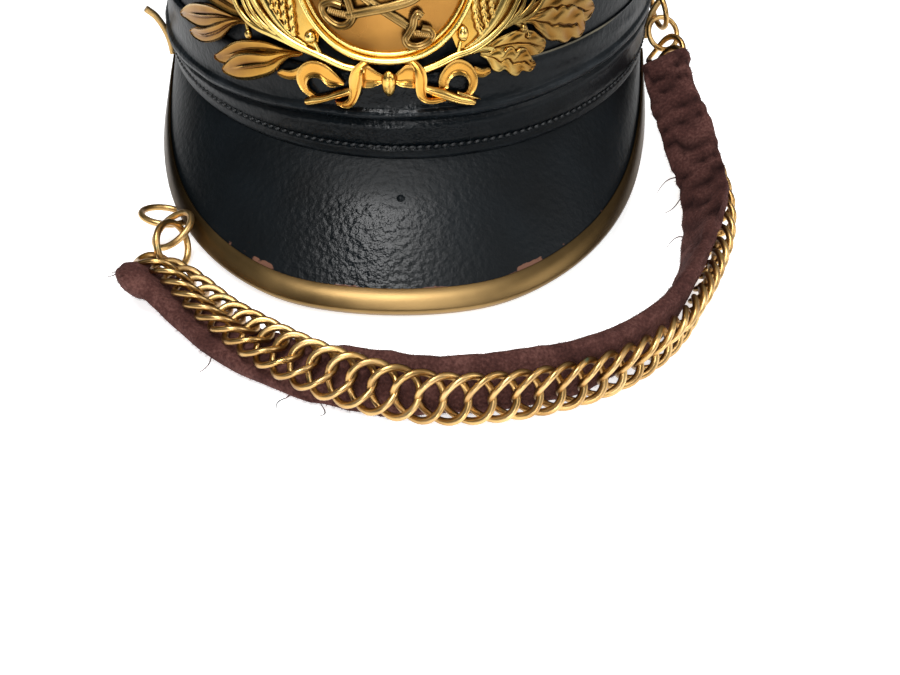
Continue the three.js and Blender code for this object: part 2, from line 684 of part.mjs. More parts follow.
// One twisted link: a ring that dips and rises twice, so that it passes through both neighbours.
function chainLink(distance) {
  const { point, along, across, face } = strapFrame(distance);
  return shapedRing(CHAIN.wireSides, CHAIN.sides, (around, corner) => {
    const turn = around * 2 * Math.PI;
    const bend = (corner / CHAIN.wireSides) * 2 * Math.PI;
    const radius = CHAIN.radius + CHAIN.wire * Math.cos(bend);
    const rise = CHAIN.rise - CHAIN.twist * Math.sin(2 * turn) + CHAIN.wire * Math.sin(bend);
    const place = point.clone().addScaledVector(along, radius * Math.cos(turn));
    return place.addScaledVector(across, radius * Math.sin(turn)).addScaledVector(face, rise);
  });
}

// The run of links between the two end links, as the flat body that they fill.
function chainBody(from, to) {
  return shapedBar(CHAIN.bodySides, CHAIN.bodySteps, (share, wide, deep) => {
    const { point, across, face } = strapFrame(THREE.MathUtils.lerp(from, to, share));
    point.addScaledVector(across, wide * CHAIN.bodyHalf);
    return point.addScaledVector(face, CHAIN.rise + deep * (CHAIN.bodyThick / 2));
  });
}

function chinChain() {
  const first = CHAIN.firstLink;
  const last = strapLine.getLength() - CHAIN.lastLink;
  const body = chainBody(first + CHAIN.bodyGap, last - CHAIN.bodyGap);
  const chain = fromSolid(fused([chainLink(first), body, chainLink(last)]));
  return piece('chin_chain', chain, chainBrass);
}

function ring({ name, at, facing, radius, wire }) {
  const torus = closed(new THREE.TorusGeometry(radius, wire, RING_WIRE_SIDES, RING_SIDES));
  const mesh = piece(name, torus, chainBrass);
  mesh.position.set(...at);
  mesh.quaternion.setFromUnitVectors(new THREE.Vector3(0, 0, 1), new THREE.Vector3(...facing).normalize());
  return mesh;
}

// The whole helmet, its origin under the middle of its box

const helmet = new THREE.Group();
helmet.add(skull(), baseBand(), peak('front_peak', FRONT_PEAK), peak('rear_peak', REAR_PEAK), peakTrim());
helmet.add(wreathPlate(), ovalBoss(), crossedSabres());
HOOKS.forEach((row) => helmet.add(hook(row)));
helmet.add(strapBacking(), chinChain());
RINGS.forEach((row) => helmet.add(ring(row)));

const dressHelmet = new THREE.Group();
dressHelmet.add(helmet);
const box = new THREE.Box3().setFromObject(dressHelmet, true);
const middle = box.getCenter(new THREE.Vector3());
helmet.position.set(-middle.x, -middle.y, -box.min.z);

export default dressHelmet;
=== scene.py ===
"""Looks of a leather dress helmet with a gilt wreath plate and a velvet-backed chin chain."""

import logging
import math
import random
from bisect import bisect_right
from dataclasses import dataclass, field
from enum import Enum
from functools import cached_property, partial
from typing import Callable, NamedTuple

import bpy
from mathutils import Matrix, Vector, noise


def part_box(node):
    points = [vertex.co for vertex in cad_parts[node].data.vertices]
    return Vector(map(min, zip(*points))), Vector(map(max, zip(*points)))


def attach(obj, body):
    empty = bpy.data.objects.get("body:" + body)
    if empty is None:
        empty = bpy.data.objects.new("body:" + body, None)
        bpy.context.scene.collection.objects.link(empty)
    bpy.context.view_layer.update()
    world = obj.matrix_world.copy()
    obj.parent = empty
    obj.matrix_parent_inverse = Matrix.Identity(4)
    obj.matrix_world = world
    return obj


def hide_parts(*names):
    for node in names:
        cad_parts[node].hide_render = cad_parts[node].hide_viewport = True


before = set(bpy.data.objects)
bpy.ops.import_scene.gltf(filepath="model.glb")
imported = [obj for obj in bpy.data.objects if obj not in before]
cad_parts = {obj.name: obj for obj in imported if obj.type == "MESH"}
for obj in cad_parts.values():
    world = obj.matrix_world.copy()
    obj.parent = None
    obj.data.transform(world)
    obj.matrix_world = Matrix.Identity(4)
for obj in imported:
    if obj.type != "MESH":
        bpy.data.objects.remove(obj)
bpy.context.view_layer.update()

LOG = logging.getLogger("dress_helmet")
MM = 0.001
FULL_TURN = 2.0 * math.pi
UP = Vector((0.0, 0.0, 1.0))

# Short names for types that many functions take
Piece = bpy.types.Object
Material = bpy.types.Material
Socket = bpy.types.NodeSocket
Table = list[tuple[float, float]]
Spot = tuple[float, float, float]


class Slot(Enum):
    """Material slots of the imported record."""

    LEATHER = "leather"
    OLD_BRASS = "old_brass"
    GILT = "gilt"
    BRONZE = "bronze"
    GREY_BRASS = "grey_brass"
    VELVET = "velvet"
    CHAIN_BRASS = "chain_brass"


class Mark(Enum):
    """Float attributes that a mesh carries for its finish."""

    # Painted highlight on raised places and painted shade in hollows, by the relief's height
    RAISED = "raised"
    # A darker tint: tarnish on the chain and rings, painted shade in the velvet's folds, on the bronze dome
    # and at the sides of the peak's channel, and darker outer leaves on the plate
    DULLED = "dulled"
    WORN = "worn"
    WARMED = "warmed"
    # Grey streaks: wear, and on the band's roll and lower edge also a painted highlight
    SCUFFED = "scuffed"
    CUT = "cut"
    GLOSSED = "glossed"


Marks = dict[Mark, Callable[..., float]]
Place = Callable[[float, float, float], Vector]


def helmet_axis() -> Vector:
    """Return the foot of the helmet's upright axis, in metres."""
    low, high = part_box("skull")
    return Vector(((low.x + high.x) / 2.0, (low.y + high.y) / 2.0, 0.0))


AXIS_FOOT = helmet_axis()


def to_part(point: Vector) -> Vector:
    """Return a point of the helmet, in millimetres from its axis, as a point of the part in metres."""
    return AXIS_FOOT + point * MM


def to_helmet(point: Vector) -> Vector:
    """Return a point of the part, in metres, as a point of the helmet in millimetres from its axis."""
    return (point - AXIS_FOOT) / MM


def above_table(point: Vector, least: float = 0.0) -> Vector:
    """Return a point, raised to a least height where it would reach below it."""
    return Vector((point.x, point.y, max(least, point.z)))


def mix(first: float, second: float, share: float) -> float:
    """Return the value that lies a share of the way from first to second."""
    return first + (second - first) * share


def clamp(value: float, low: float = 0.0, high: float = 1.0) -> float:
    """Return the value, kept between low and high."""
    return max(low, min(high, value))


def smooth(value: float, low: float, high: float) -> float:
    """Return 0 below low, 1 above high and an even rise between them."""
    share = clamp((value - low) / (high - low))
    return share * share * (3.0 - 2.0 * share)


def bell(value: float, middle: float, width: float) -> float:
    """Return 1 at the middle, falling smoothly to 0 on both sides of it."""
    return math.exp(-((value - middle) / width) ** 2)


def arch(value: float, least: float = 0.0) -> float:
    """Return the height of a half-circle at a place from -1 to 1, its square kept over a least value."""
    return math.sqrt(max(least, 1.0 - value * value))


def signed_power(value: float, power: float) -> float:
    """Return a value raised to a power, with its sign kept."""
    return math.copysign(abs(value) ** power, value)


def along_table(table: Table, place: float) -> float:
    """Read a table by its first column.

    Args:
        table: pairs of numbers, the first of each rising.
        place: where to read, in the first column's units.

    Returns:
        The second column's value, in straight lines between rows and straight on past both ends.
    """
    row = bisect_right(table, place, key=lambda pair: pair[0]) - 1
    row = min(len(table) - 2, max(0, row))
    (start, low), (end, high) = table[row], table[row + 1]
    return mix(low, high, (place - start) / (end - start))


# Modelling tools


def pick(*pieces: Piece) -> None:
    """Leave object mode and select some pieces alone, or none before a new one is added.

    Args:
        pieces: the pieces, of which the first becomes the active one.
    """
    if bpy.context.mode != "OBJECT":
        bpy.ops.object.mode_set(mode="OBJECT")
    bpy.ops.object.select_all(action="DESELECT")
    for piece in pieces:
        piece.select_set(True)
    if pieces:
        bpy.context.view_layer.objects.active = pieces[0]


def named(name: str) -> Piece:
    """Name the piece that an operator has just added, and return it."""
    bpy.context.active_object.name = name
    return bpy.context.active_object


def move_points(piece: Piece, place: Callable[[Vector], Vector]) -> None:
    """Put every vertex of a piece where a function says.

    Args:
        piece: the piece.
        place: helmet point in millimetres from the vertex's place.
    """
    for vertex in piece.data.vertices:
        vertex.co = to_part(place(vertex.co.copy()))
    piece.data.update()


def face_outward(piece: Piece) -> None:
    """Merge a closed piece's doubles and turn all its faces outwards.

    Args:
        piece: the piece.
    """
    pick(piece)
    bpy.ops.object.mode_set(mode="EDIT")
    bpy.ops.mesh.select_all(action="SELECT")
    bpy.ops.mesh.remove_doubles(threshold=1e-7)
    bpy.ops.mesh.normals_make_consistent(inside=False)
    bpy.ops.object.mode_set(mode="OBJECT")


def shade(piece: Piece, degrees: float) -> Piece:
    """Shade a piece smooth.

    Args:
        piece: the piece.
        degrees: the angle past which an edge stays sharp.

    Returns:
        The piece.
    """
    pick(piece)
    bpy.ops.object.shade_smooth_by_angle(angle=math.radians(degrees))
    return piece


def shape(
    piece: Piece,
    read: Callable[[Vector], tuple[float, ...]],
    place: Callable[..., Vector],
    marks: Marks | None = None,
) -> Piece:
    """Move a primitive's points where a function says, and mark them for the finish.

    Args:
        piece: the primitive, still of unit size.
        read: a point's shares on the primitive.
        place: helmet point in millimetres from these shares.
        marks: a value from these shares for each attribute.

    Returns:
        The piece, closed and with its faces outwards.
    """
    shares = [read(vertex.co) for vertex in piece.data.vertices]
    for vertex, row in zip(piece.data.vertices, shares):
        vertex.co = to_part(place(*row))
    for attribute, value in (marks or {}).items():
        layer = piece.data.attributes.new(attribute.value, "FLOAT", "POINT")
        for index, row in enumerate(shares):
            layer.data[index].value = value(*row)
    face_outward(piece)
    return piece


def long_tube(name: str, sides: int, steps: int, place: Place, marks: Marks | None = None) -> Piece:
    """Model a closed bar from a cylinder cut across its length.

    Args:
        name: the piece's name.
        sides: corners of its section.
        steps: lengths that it is cut into.
        place: helmet point from the share along and the place in a unit circle.
        marks: values for the finish, from the same shares.

    Returns:
        The new piece.
    """
    pick()
    bpy.ops.mesh.primitive_cylinder_add(vertices=sides, radius=1.0, depth=1.0, end_fill_type="TRIFAN")
    piece = named(name)
    bpy.ops.object.mode_set(mode="EDIT")
    bpy.ops.mesh.select_mode(type="EDGE")
    bpy.ops.mesh.select_all(action="DESELECT")
    bpy.ops.object.mode_set(mode="OBJECT")
    for edge in piece.data.edges:
        first, second = (piece.data.vertices[i].co for i in edge.vertices)
        edge.select = abs(first.z - second.z) > 0.5
    bpy.ops.object.mode_set(mode="EDIT")
    bpy.ops.mesh.subdivide(number_cuts=steps - 1)
    bpy.ops.object.mode_set(mode="OBJECT")
    return shape(piece, lambda p: (p.z + 0.5, p.x, p.y), place, marks)


def closed_ring(
    name: str, steps: int, sides: int, place: Callable[[float, float], Vector], marks: Marks | None = None
) -> Piece:
    """Model a closed ring from a torus.

    Args:
        name: the piece's name.
        steps: lengths around the ring.
        sides: corners of its section.
        place: helmet point from the angle around and the angle in the section.
        marks: values for the finish, from the same angles.

    Returns:
        The new piece.
    """
    pick()
    middle = 2.0
    bpy.ops.mesh.primitive_torus_add(
        major_segments=steps, minor_segments=sides, major_radius=middle, minor_radius=1.0
    )

    def angles(point: Vector) -> tuple[float, float]:
        """Return a point's angle around and its angle in the section."""
        return math.atan2(point.y, point.x), math.atan2(point.z, math.hypot(point.x, point.y) - middle)

    return shape(named(name), angles, place, marks)


def sheet_of(name: str, columns: int, rows: int, place: Callable[[float, float], Vector]) -> Piece:
    """Model an open sheet from a grid.

    Args:
        name: the piece's name.
        columns: faces along.
        rows: faces across.
        place: helmet point from the two shares of 0 to 1.

    Returns:
        The new piece.
    """
    pick()
    bpy.ops.mesh.primitive_grid_add(x_subdivisions=columns, y_subdivisions=rows, size=1.0)
    piece = named(name)
    move_points(piece, lambda p: place(p.x + 0.5, p.y + 0.5))
    return piece


def finish_with(piece: Piece, kind: str, **settings: object) -> None:
    """Add a modifier to a piece and apply it.

    Args:
        piece: the piece.
        kind: the modifier's type.
        settings: its settings.
    """
    pick(piece)
    modifier = piece.modifiers.new(kind.title(), kind)
    for key, value in settings.items():
        setattr(modifier, key, value)
    bpy.ops.object.modifier_apply(modifier=modifier.name)


def thicken(piece: Piece, wall: float, offset: float) -> None:
    """Give a sheet a wall in millimetres, on the side that offset says, and close it."""
    finish_with(piece, "SOLIDIFY", thickness=wall * MM, offset=offset, use_even_offset=True)
    face_outward(piece)


def join(name: str, pieces: list[Piece]) -> Piece:
    """Join pieces into one.

    Args:
        name: the new piece's name.
        pieces: the pieces to join.

    Returns:
        The joined piece.
    """
    pick(*pieces)
    if len(pieces) > 1:
        bpy.ops.object.join()
    joined = named(name)
    joined.data.name = name
    return joined


def copy_of(piece: Piece, matrix: Matrix) -> Piece:
    """Copy a piece with its own mesh.

    Args:
        piece: the piece to copy.
        matrix: the move of the copy's points.

    Returns:
        The copy.
    """
    copy = piece.copy()
    copy.data = piece.data.copy()
    copy.data.transform(matrix)
    bpy.context.scene.collection.objects.link(copy)
    return copy


def mark(piece: Piece, attribute: Mark, value: Callable[[Vector], float]) -> None:
    """Write a float attribute on every vertex of a piece.

    Args:
        piece: the piece.
        attribute: the attribute.
        value: its value from the vertex's place in helmet millimetres.
    """
    layer = piece.data.attributes.get(attribute.value)
    if layer is None:
        layer = piece.data.attributes.new(attribute.value, "FLOAT", "POINT")
    for vertex in piece.data.vertices:
        layer.data[vertex.index].value = value(to_helmet(vertex.co))


def dress(piece: Piece, material: Material, slot: Slot, *nodes: str) -> Piece:
    """Give a finished piece its material and its place on the part.

    Args:
        piece: the finished piece.
        material: its finish.
        slot: the record's slot; not used.
        nodes: the CAD nodes that it stands for.

    Returns:
        The piece.
    """
    piece.data.materials.clear()
    piece.data.materials.append(material)
    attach(piece, "root")
    if nodes:
        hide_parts(*nodes)
    LOG.info("%s: %d faces", piece.name, len(piece.data.polygons))
    return piece


# Materials


def colour(code: str) -> tuple[float, float, float, float]:
    """Turn an sRGB hex code into a linear colour.

    Args:
        code: the hex code with its leading sign.

    Returns:
        Red, green, blue and full opacity.
    """
    channels = []
    for start in (1, 3, 5):
        value = int(code[start:start + 2], 16) / 255.0
        channels.append(value / 12.92 if value <= 0.04045 else ((value + 0.055) / 1.055) ** 2.4)
    return (channels[0], channels[1], channels[2], 1.0)


def per_mm(size: float) -> float:
    """Return the scale that gives a pattern this size in millimetres on coordinates in metres."""
    return 1.0 / (size * MM)


def set_inputs(node: bpy.types.Node, inputs: dict[str | int, object]) -> None:
    """Set a node's inputs.

    Args:
        node: the node.
        inputs: a value or an output socket for each input.
    """
    for key, value in inputs.items():
        if isinstance(value, Socket):
            node.id_data.links.new(value, node.inputs[key])
        else:
            node.inputs[key].default_value = value


def add_node(
    tree: bpy.types.NodeTree,
    kind: str,
    inputs: dict[str | int, object] | None = None,
    give: str | int = 0,
    stops: list[tuple[float, str]] | None = None,
    **settings: object,
) -> Socket:
    """Add a shader node with its settings and links.

    Args:
        tree: the node tree.
        kind: the node's type, without the word that all types start with.
        inputs: a value or an output socket for each input.
        give: the output that is returned.
        stops: places and hex colours of a colour ramp.
        settings: properties of the node.

    Returns:
        The node's output socket.
    """
    node = tree.nodes.new("ShaderNode" + kind)
    for key, value in settings.items():
        setattr(node, key, value)
    set_inputs(node, inputs or {})
    if stops:
        elements = node.color_ramp.elements
        while len(elements) < len(stops):
            elements.new(1.0)
        for element, (place, code) in zip(elements, stops):
            element.position = place
            element.color = colour(code)
    return node.outputs[give]


def new_material(name: str) -> tuple[Material, Callable[..., Socket], bpy.types.Node, Socket]:
    """Start a material.

    Args:
        name: the real material's name.

    Returns:
        The material, add_node for its tree, its shader and the object coordinates.
    """
    material = bpy.data.materials.new(name)
    material.use_nodes = True
    add = partial(add_node, material.node_tree)
    shader = next(node for node in material.node_tree.nodes if node.type == "BSDF_PRINCIPLED")
    return material, add, shader, add("TexCoord", give="Object")


@dataclass(frozen=True)
class BlackLeather:
    """Black japanned leather: an old varnish over hide, dull at the sides and glossy in the middle."""

    # The eye gets a blue-black skin with soft pebbled glints, grey rubbed streaks that on the band's roll and
    # lower edge also stand for a painted highlight, and small brown chips.
    name: str = "black_japanned_leather"
    dark: str = "#030608"
    pale: str = "#0b1115"
    # Grey of the streaks, which on the band's roll and lower edge also stands for a painted highlight
    rubbed: str = "#3c4247"
    bare_hide: str = "#6e4c3d"
    raw_edge: str = "#8f8873"
    patch: float = 24.0
    streak: float = 6.0
    # The hide's pebbles are drawn about twice as coarse as real ones, so that they show.
    pebble: float = 2.0
    pebble_height: float = 0.5
    chip: float = 4.0
    dull: float = 0.45
    glossy: float = 0.18
    specular: float = 0.15

    def material(self) -> Material:
        """Build the finish: varnish, grey streaks of wear and painted highlight, chips down to the hide, and
        the pale cut edge.

        Returns:
            The material.
        """
        material, add, shader, place = new_material(self.name)
        scuffed, worn, cut, glossed = (
            add("Attribute", give="Fac", attribute_name=kind.value)
            for kind in (Mark.SCUFFED, Mark.WORN, Mark.CUT, Mark.GLOSSED)
        )
        patches, chips, pebbles = (
            add("TexNoise", {"Vector": place, "Scale": per_mm(size), "Detail": detail})
            for size, detail in ((self.patch, 6.0), (self.chip, 6.0), (self.pebble, 3.0))
        )
        base = add("ValToRGB", {"Fac": patches}, stops=[(0.3, self.dark), (0.75, self.pale)])
        level = add("Mapping", {"Vector": place, "Scale": (0.3, 0.3, 2.2)})
        streaks = add(
            "TexNoise", {"Vector": level, "Scale": per_mm(self.streak), "Detail": 8.0, "Roughness": 0.65}
        )
        wisps = add("MapRange", {"Value": streaks, "From Min": 0.42, "From Max": 0.75})
        # Grey streaks of wear, by the mask that also places a painted highlight on the band's roll and lower
        # edge
        scuff_and_highlight_mix = add("Math", {0: wisps, 1: scuffed}, operation="MULTIPLY")
        varnish = add("MixRGB", {"Fac": scuff_and_highlight_mix, "Color1": base, "Color2": colour(self.rubbed)})
        bared = add("Math", {0: worn, 1: chips}, operation="ADD")
        chipped = add("MapRange", {"Value": bared, "From Min": 1.1, "From Max": 1.18})
        skin = add("MixRGB", {"Fac": chipped, "Color1": varnish, "Color2": colour(self.bare_hide)})
        edged = add("MixRGB", {"Fac": cut, "Color1": skin, "Color2": colour(self.raw_edge)})
        gloss = add("MapRange", {"Value": glossed, "To Min": self.dull, "To Max": self.glossy})
        strength = add("MapRange", {"Value": glossed, "To Min": 0.45, "To Max": 0.75})
        bump = add("Bump", {"Height": pebbles, "Strength": strength, "Distance": self.pebble_height * MM})
        set_inputs(shader, {"Base Color": edged, "Roughness": gloss, "Normal": bump})
        set_inputs(shader, {"Specular IOR Level": self.specular})
        return material


@dataclass(frozen=True)
class Brass:
    """Brass in one of its states, from fresh gilding to a brown old skin."""

    # The eye gets a warm metal in soft patches of tarnish, with a painted highlight where it is raised and
    # painted shade in hollows.
    name: str
    # Colours by height: bright gives a painted highlight on ridges, deep gives painted shade in hollows
    bright: str
    body: str
    deep: str
    # A darker tint: tarnish on some parts, painted shade on others
    film: str
    warm: str = "#c8873a"
    smoothness: float = 0.26
    dullness: float = 0.42
    patch: float = 9.0
    # Fine scratches are drawn far coarser than real ones, so that they break the gloss.
    scratch: float = 0.8
    scratch_height: float = 0.02
    spot: float = 5.0
    verdigris: str = "#5f8a70"
    verdigris_from: float = 1.1

    def material(self) -> Material:
        """Build the finish: the metal by its height as a painted highlight on ridges and painted shade in
        hollows, the coppery tint, the darker tint of tarnish and painted shade, and the green spots.

        Returns:
            The material.
        """
        material, add, shader, place = new_material(self.name)
        raised, warmed, dulled = (
            add("Attribute", give="Fac", attribute_name=kind.value)
            for kind in (Mark.RAISED, Mark.WARMED, Mark.DULLED)
        )
        patches, spots, fine = (
            add("TexNoise", {"Vector": place, "Scale": per_mm(size), "Detail": detail})
            for size, detail in ((self.patch, 5.0), (self.spot, 6.0), (self.scratch, 3.0))
        )
        tone = add("MapRange", {"Value": patches, "To Min": -0.3, "To Max": 0.3})
        # The relief's height adds a painted highlight on ridges and painted shade in hollows
        height = add("Math", {0: tone, 1: raised}, operation="ADD")
        tones = [(0.08, self.deep), (0.45, self.body), (0.85, self.bright)]
        base = add("ValToRGB", {"Fac": height}, stops=tones)
        tinted = add("MixRGB", {"Fac": warmed, "Color1": base, "Color2": colour(self.warm)})
        # The darker tint: tarnish on the chain and rings, painted shade on the bronze dome and the channel's
        # sides
        film = {"Fac": dulled, "Color1": tinted, "Color2": colour(self.film)}
        tarnished_and_shaded = add("MixRGB", film, blend_type="MULTIPLY")
        most = self.verdigris_from + 0.1
        green = add("MapRange", {"Value": spots, "From Min": self.verdigris_from, "From Max": most})
        skin = add("MixRGB", {"Fac": green, "Color1": tarnished_and_shaded, "Color2": colour(self.verdigris)})
        span = {"From Min": 0.3, "From Max": 0.75, "To Min": self.smoothness, "To Max": self.dullness}
        rough = add("MapRange", {"Value": patches, **span})
        bump = add("Bump", {"Height": fine, "Strength": 1.0, "Distance": self.scratch_height * MM})
        set_inputs(shader, {"Base Color": skin, "Roughness": rough, "Normal": bump, "Metallic": 1.0})
        return material


# States of the brass: the name, then the colours of its bright, plain and deep places (the relief adds a
# painted highlight with bright and painted shade with deep), and of its darker tint (tarnish on the chain,
# painted shade on the bronze dome and the channel's sides)
GILT = Brass("fire_gilt_brass", "#ffe489", "#d8a94e", "#5c3a12", "#8d8280", smoothness=0.16, dullness=0.34)
BRONZE = Brass(
    "bronzed_brass", "#cf9a50", "#9d7036", "#5e3c1a", "#8d8072", smoothness=0.22, dullness=0.36, patch=18.0
)
OLD_BRASS = Brass(
    "aged_brass", "#bf9e68", "#886e46", "#4c3b24", "#6e6a66", smoothness=0.34, dullness=0.5, patch=26.0
)
GREY_BRASS = Brass("greyed_brass", "#d4b274", "#9c7c46", "#49351b", "#978a6c", dullness=0.4)
CHAIN_BRASS = Brass("drawn_brass_wire", "#f0d09a", "#c9a468", "#80603a", "#b09c88", verdigris_from=0.68)


@dataclass(frozen=True)
class Velvet:
    """Cotton velvet: a short dense pile, pale where it catches the light, rubbed and browned with age."""

    # The eye gets a soft maroon cloth in uneven patches, with painted shade in its folds and a faint sheen at
    # its edges.
    name: str = "worn_cotton_velvet"
    dark: str = "#241413"
    body: str = "#4a2e2a"
    pale: str = "#76514a"
    # Colour of the painted shade in the velvet's folds
    crease: str = "#1c0e0d"
    sheen: str = "#b98783"
    patch: float = 9.0
    # Tufts of the pile are drawn several times as coarse as real ones, so that they show.
    pile: float = 0.9
    pile_height: float = 0.45

    def material(self) -> Material:
        """Build the finish: pile in soft patches, with painted shade in the folds.

        Returns:
            The material.
        """
        material, add, shader, place = new_material(self.name)
        patches = add("TexNoise", {"Vector": place, "Scale": per_mm(self.patch), "Detail": 6.0})
        pile = add("TexNoise", {"Vector": place, "Scale": per_mm(self.pile), "Detail": 3.0})
        both = add("MixRGB", {"Fac": 0.5, "Color1": patches, "Color2": pile})
        tones = [(0.25, self.dark), (0.5, self.body), (0.8, self.pale)]
        base = add("ValToRGB", {"Fac": both}, stops=tones)
        # Painted shade in the folds
        painted_fold_shade = add("Attribute", give="Fac", attribute_name=Mark.DULLED.value)
        cloth = add("MixRGB", {"Fac": painted_fold_shade, "Color1": base, "Color2": colour(self.crease)})
        bump = add("Bump", {"Height": pile, "Strength": 1.0, "Distance": self.pile_height * MM})
        set_inputs(shader, {"Base Color": cloth, "Normal": bump, "Roughness": 1.0, "Specular IOR Level": 0.1})
        set_inputs(shader, {"Sheen Weight": 0.12, "Sheen Roughness": 0.45, "Sheen Tint": colour(self.sheen)})
        return material


@dataclass(frozen=True)
class WaxedThread:
    """Waxed linen thread, blackened with the leather and rubbed pale on its crowns."""

    # The eye gets a black cord with a dull wax gloss and faint plies.
    name: str = "waxed_thread"
    dark: str = "#0a0c0e"
    pale: str = "#1b1f22"
    # Plies are drawn about twice as coarse as real ones, so that they show.
    ply: float = 0.7

    def material(self) -> Material:
        """Build the finish: black thread with paler plies.

        Returns:
            The material.
        """
        material, add, shader, place = new_material(self.name)
        plies = add("TexNoise", {"Vector": place, "Scale": per_mm(self.ply), "Detail": 2.0})
        base = add("ValToRGB", {"Fac": plies}, stops=[(0.35, self.dark), (0.7, self.pale)])
        set_inputs(shader, {"Base Color": base, "Roughness": 0.5})
        return material


# The leather body


@dataclass(frozen=True)
class HelmetForm:
    """Outer form of the leather body, in millimetres from the helmet's axis and the table."""

    half_width: float = 90.0
    half_length: float = 106.0
    height: float = 130.0
    seam: float = 32.0
    seam_side_rise: float = 3.0
    up_curve: float = 2.8
    in_curve: float = 2.1
    plate_standoff: float = 2.1
    plate_per_radian: float = 95.0

    def seam_height(self, turn: float) -> float:
        """Return the height of the body's lower edge at a plan angle."""
        return self.seam + self.seam_side_rise * math.sin(turn) ** 2

    def over_seam(self, turn: float, up: float) -> float:
        """Return the height above the front's seam of a place this far above the seam at a plan angle."""
        return self.seam_height(turn) - self.seam + up

    def dome_share(self, height: float) -> float:
        """Return the share of the base plan that the dome still has at a height above the seam."""
        return (1.0 - clamp(height / self.height) ** self.up_curve) ** (1.0 / self.in_curve)

    def plan(self, turn: float) -> Vector:
        """Return the base plan's point at an angle from the front."""
        return Vector((self.half_width * math.sin(turn), -self.half_length * math.cos(turn), 0.0))

    def turn_of(self, point: Vector) -> float:
        """Return the plan angle from the front of a helmet point."""
        return math.atan2(point.x / self.half_width, -point.y / self.half_length)

    def outward(self, turn: float) -> Vector:
        """Return the level direction out of the base plan at an angle from the front."""
        level = Vector((math.sin(turn) / self.half_width, -math.cos(turn) / self.half_length, 0.0))
        return level.normalized()

    def skin(self, turn: float, height: float, out: float) -> Vector:
        """Find a point on or over the dome.

        Args:
            turn: plan angle from the front.
            height: height above the seam at the front.
            out: distance out along the dome's normal.

        Returns:
            The helmet point.
        """
        half_step = 0.5
        lean = self.dome_share(height - half_step) - self.dome_share(height + half_step)
        normal = self.outward(turn)
        normal.z = lean * self.plan(turn).dot(normal)
        point = self.plan(turn) * self.dome_share(height)
        point.z = self.seam + height
        return point + normal.normalized() * out

    @cached_property
    def front_climb(self) -> Table:
        """Distances up the front of the dome, with the heights they reach."""
        step = 0.5
        rows = [(0.0, 0.0)]
        while rows[-1][1] < self.height - step:
            travelled, height = rows[-1]
            inward = self.half_length * (self.dome_share(height) - self.dome_share(height + step))
            rows.append((travelled + math.hypot(step, inward), height + step))
        return rows

    def on_plate(self, flat: Vector) -> Vector:
        """Lay a point of the flat plate on the helmet.

        Args:
            flat: the distances across, up from the seam, and out.

        Returns:
            The helmet point.
        """
        turn = flat.x / self.plate_per_radian
        height = along_table(self.front_climb, flat.y)
        return self.skin(turn, height, self.plate_standoff + flat.z)


FORM = HelmetForm()


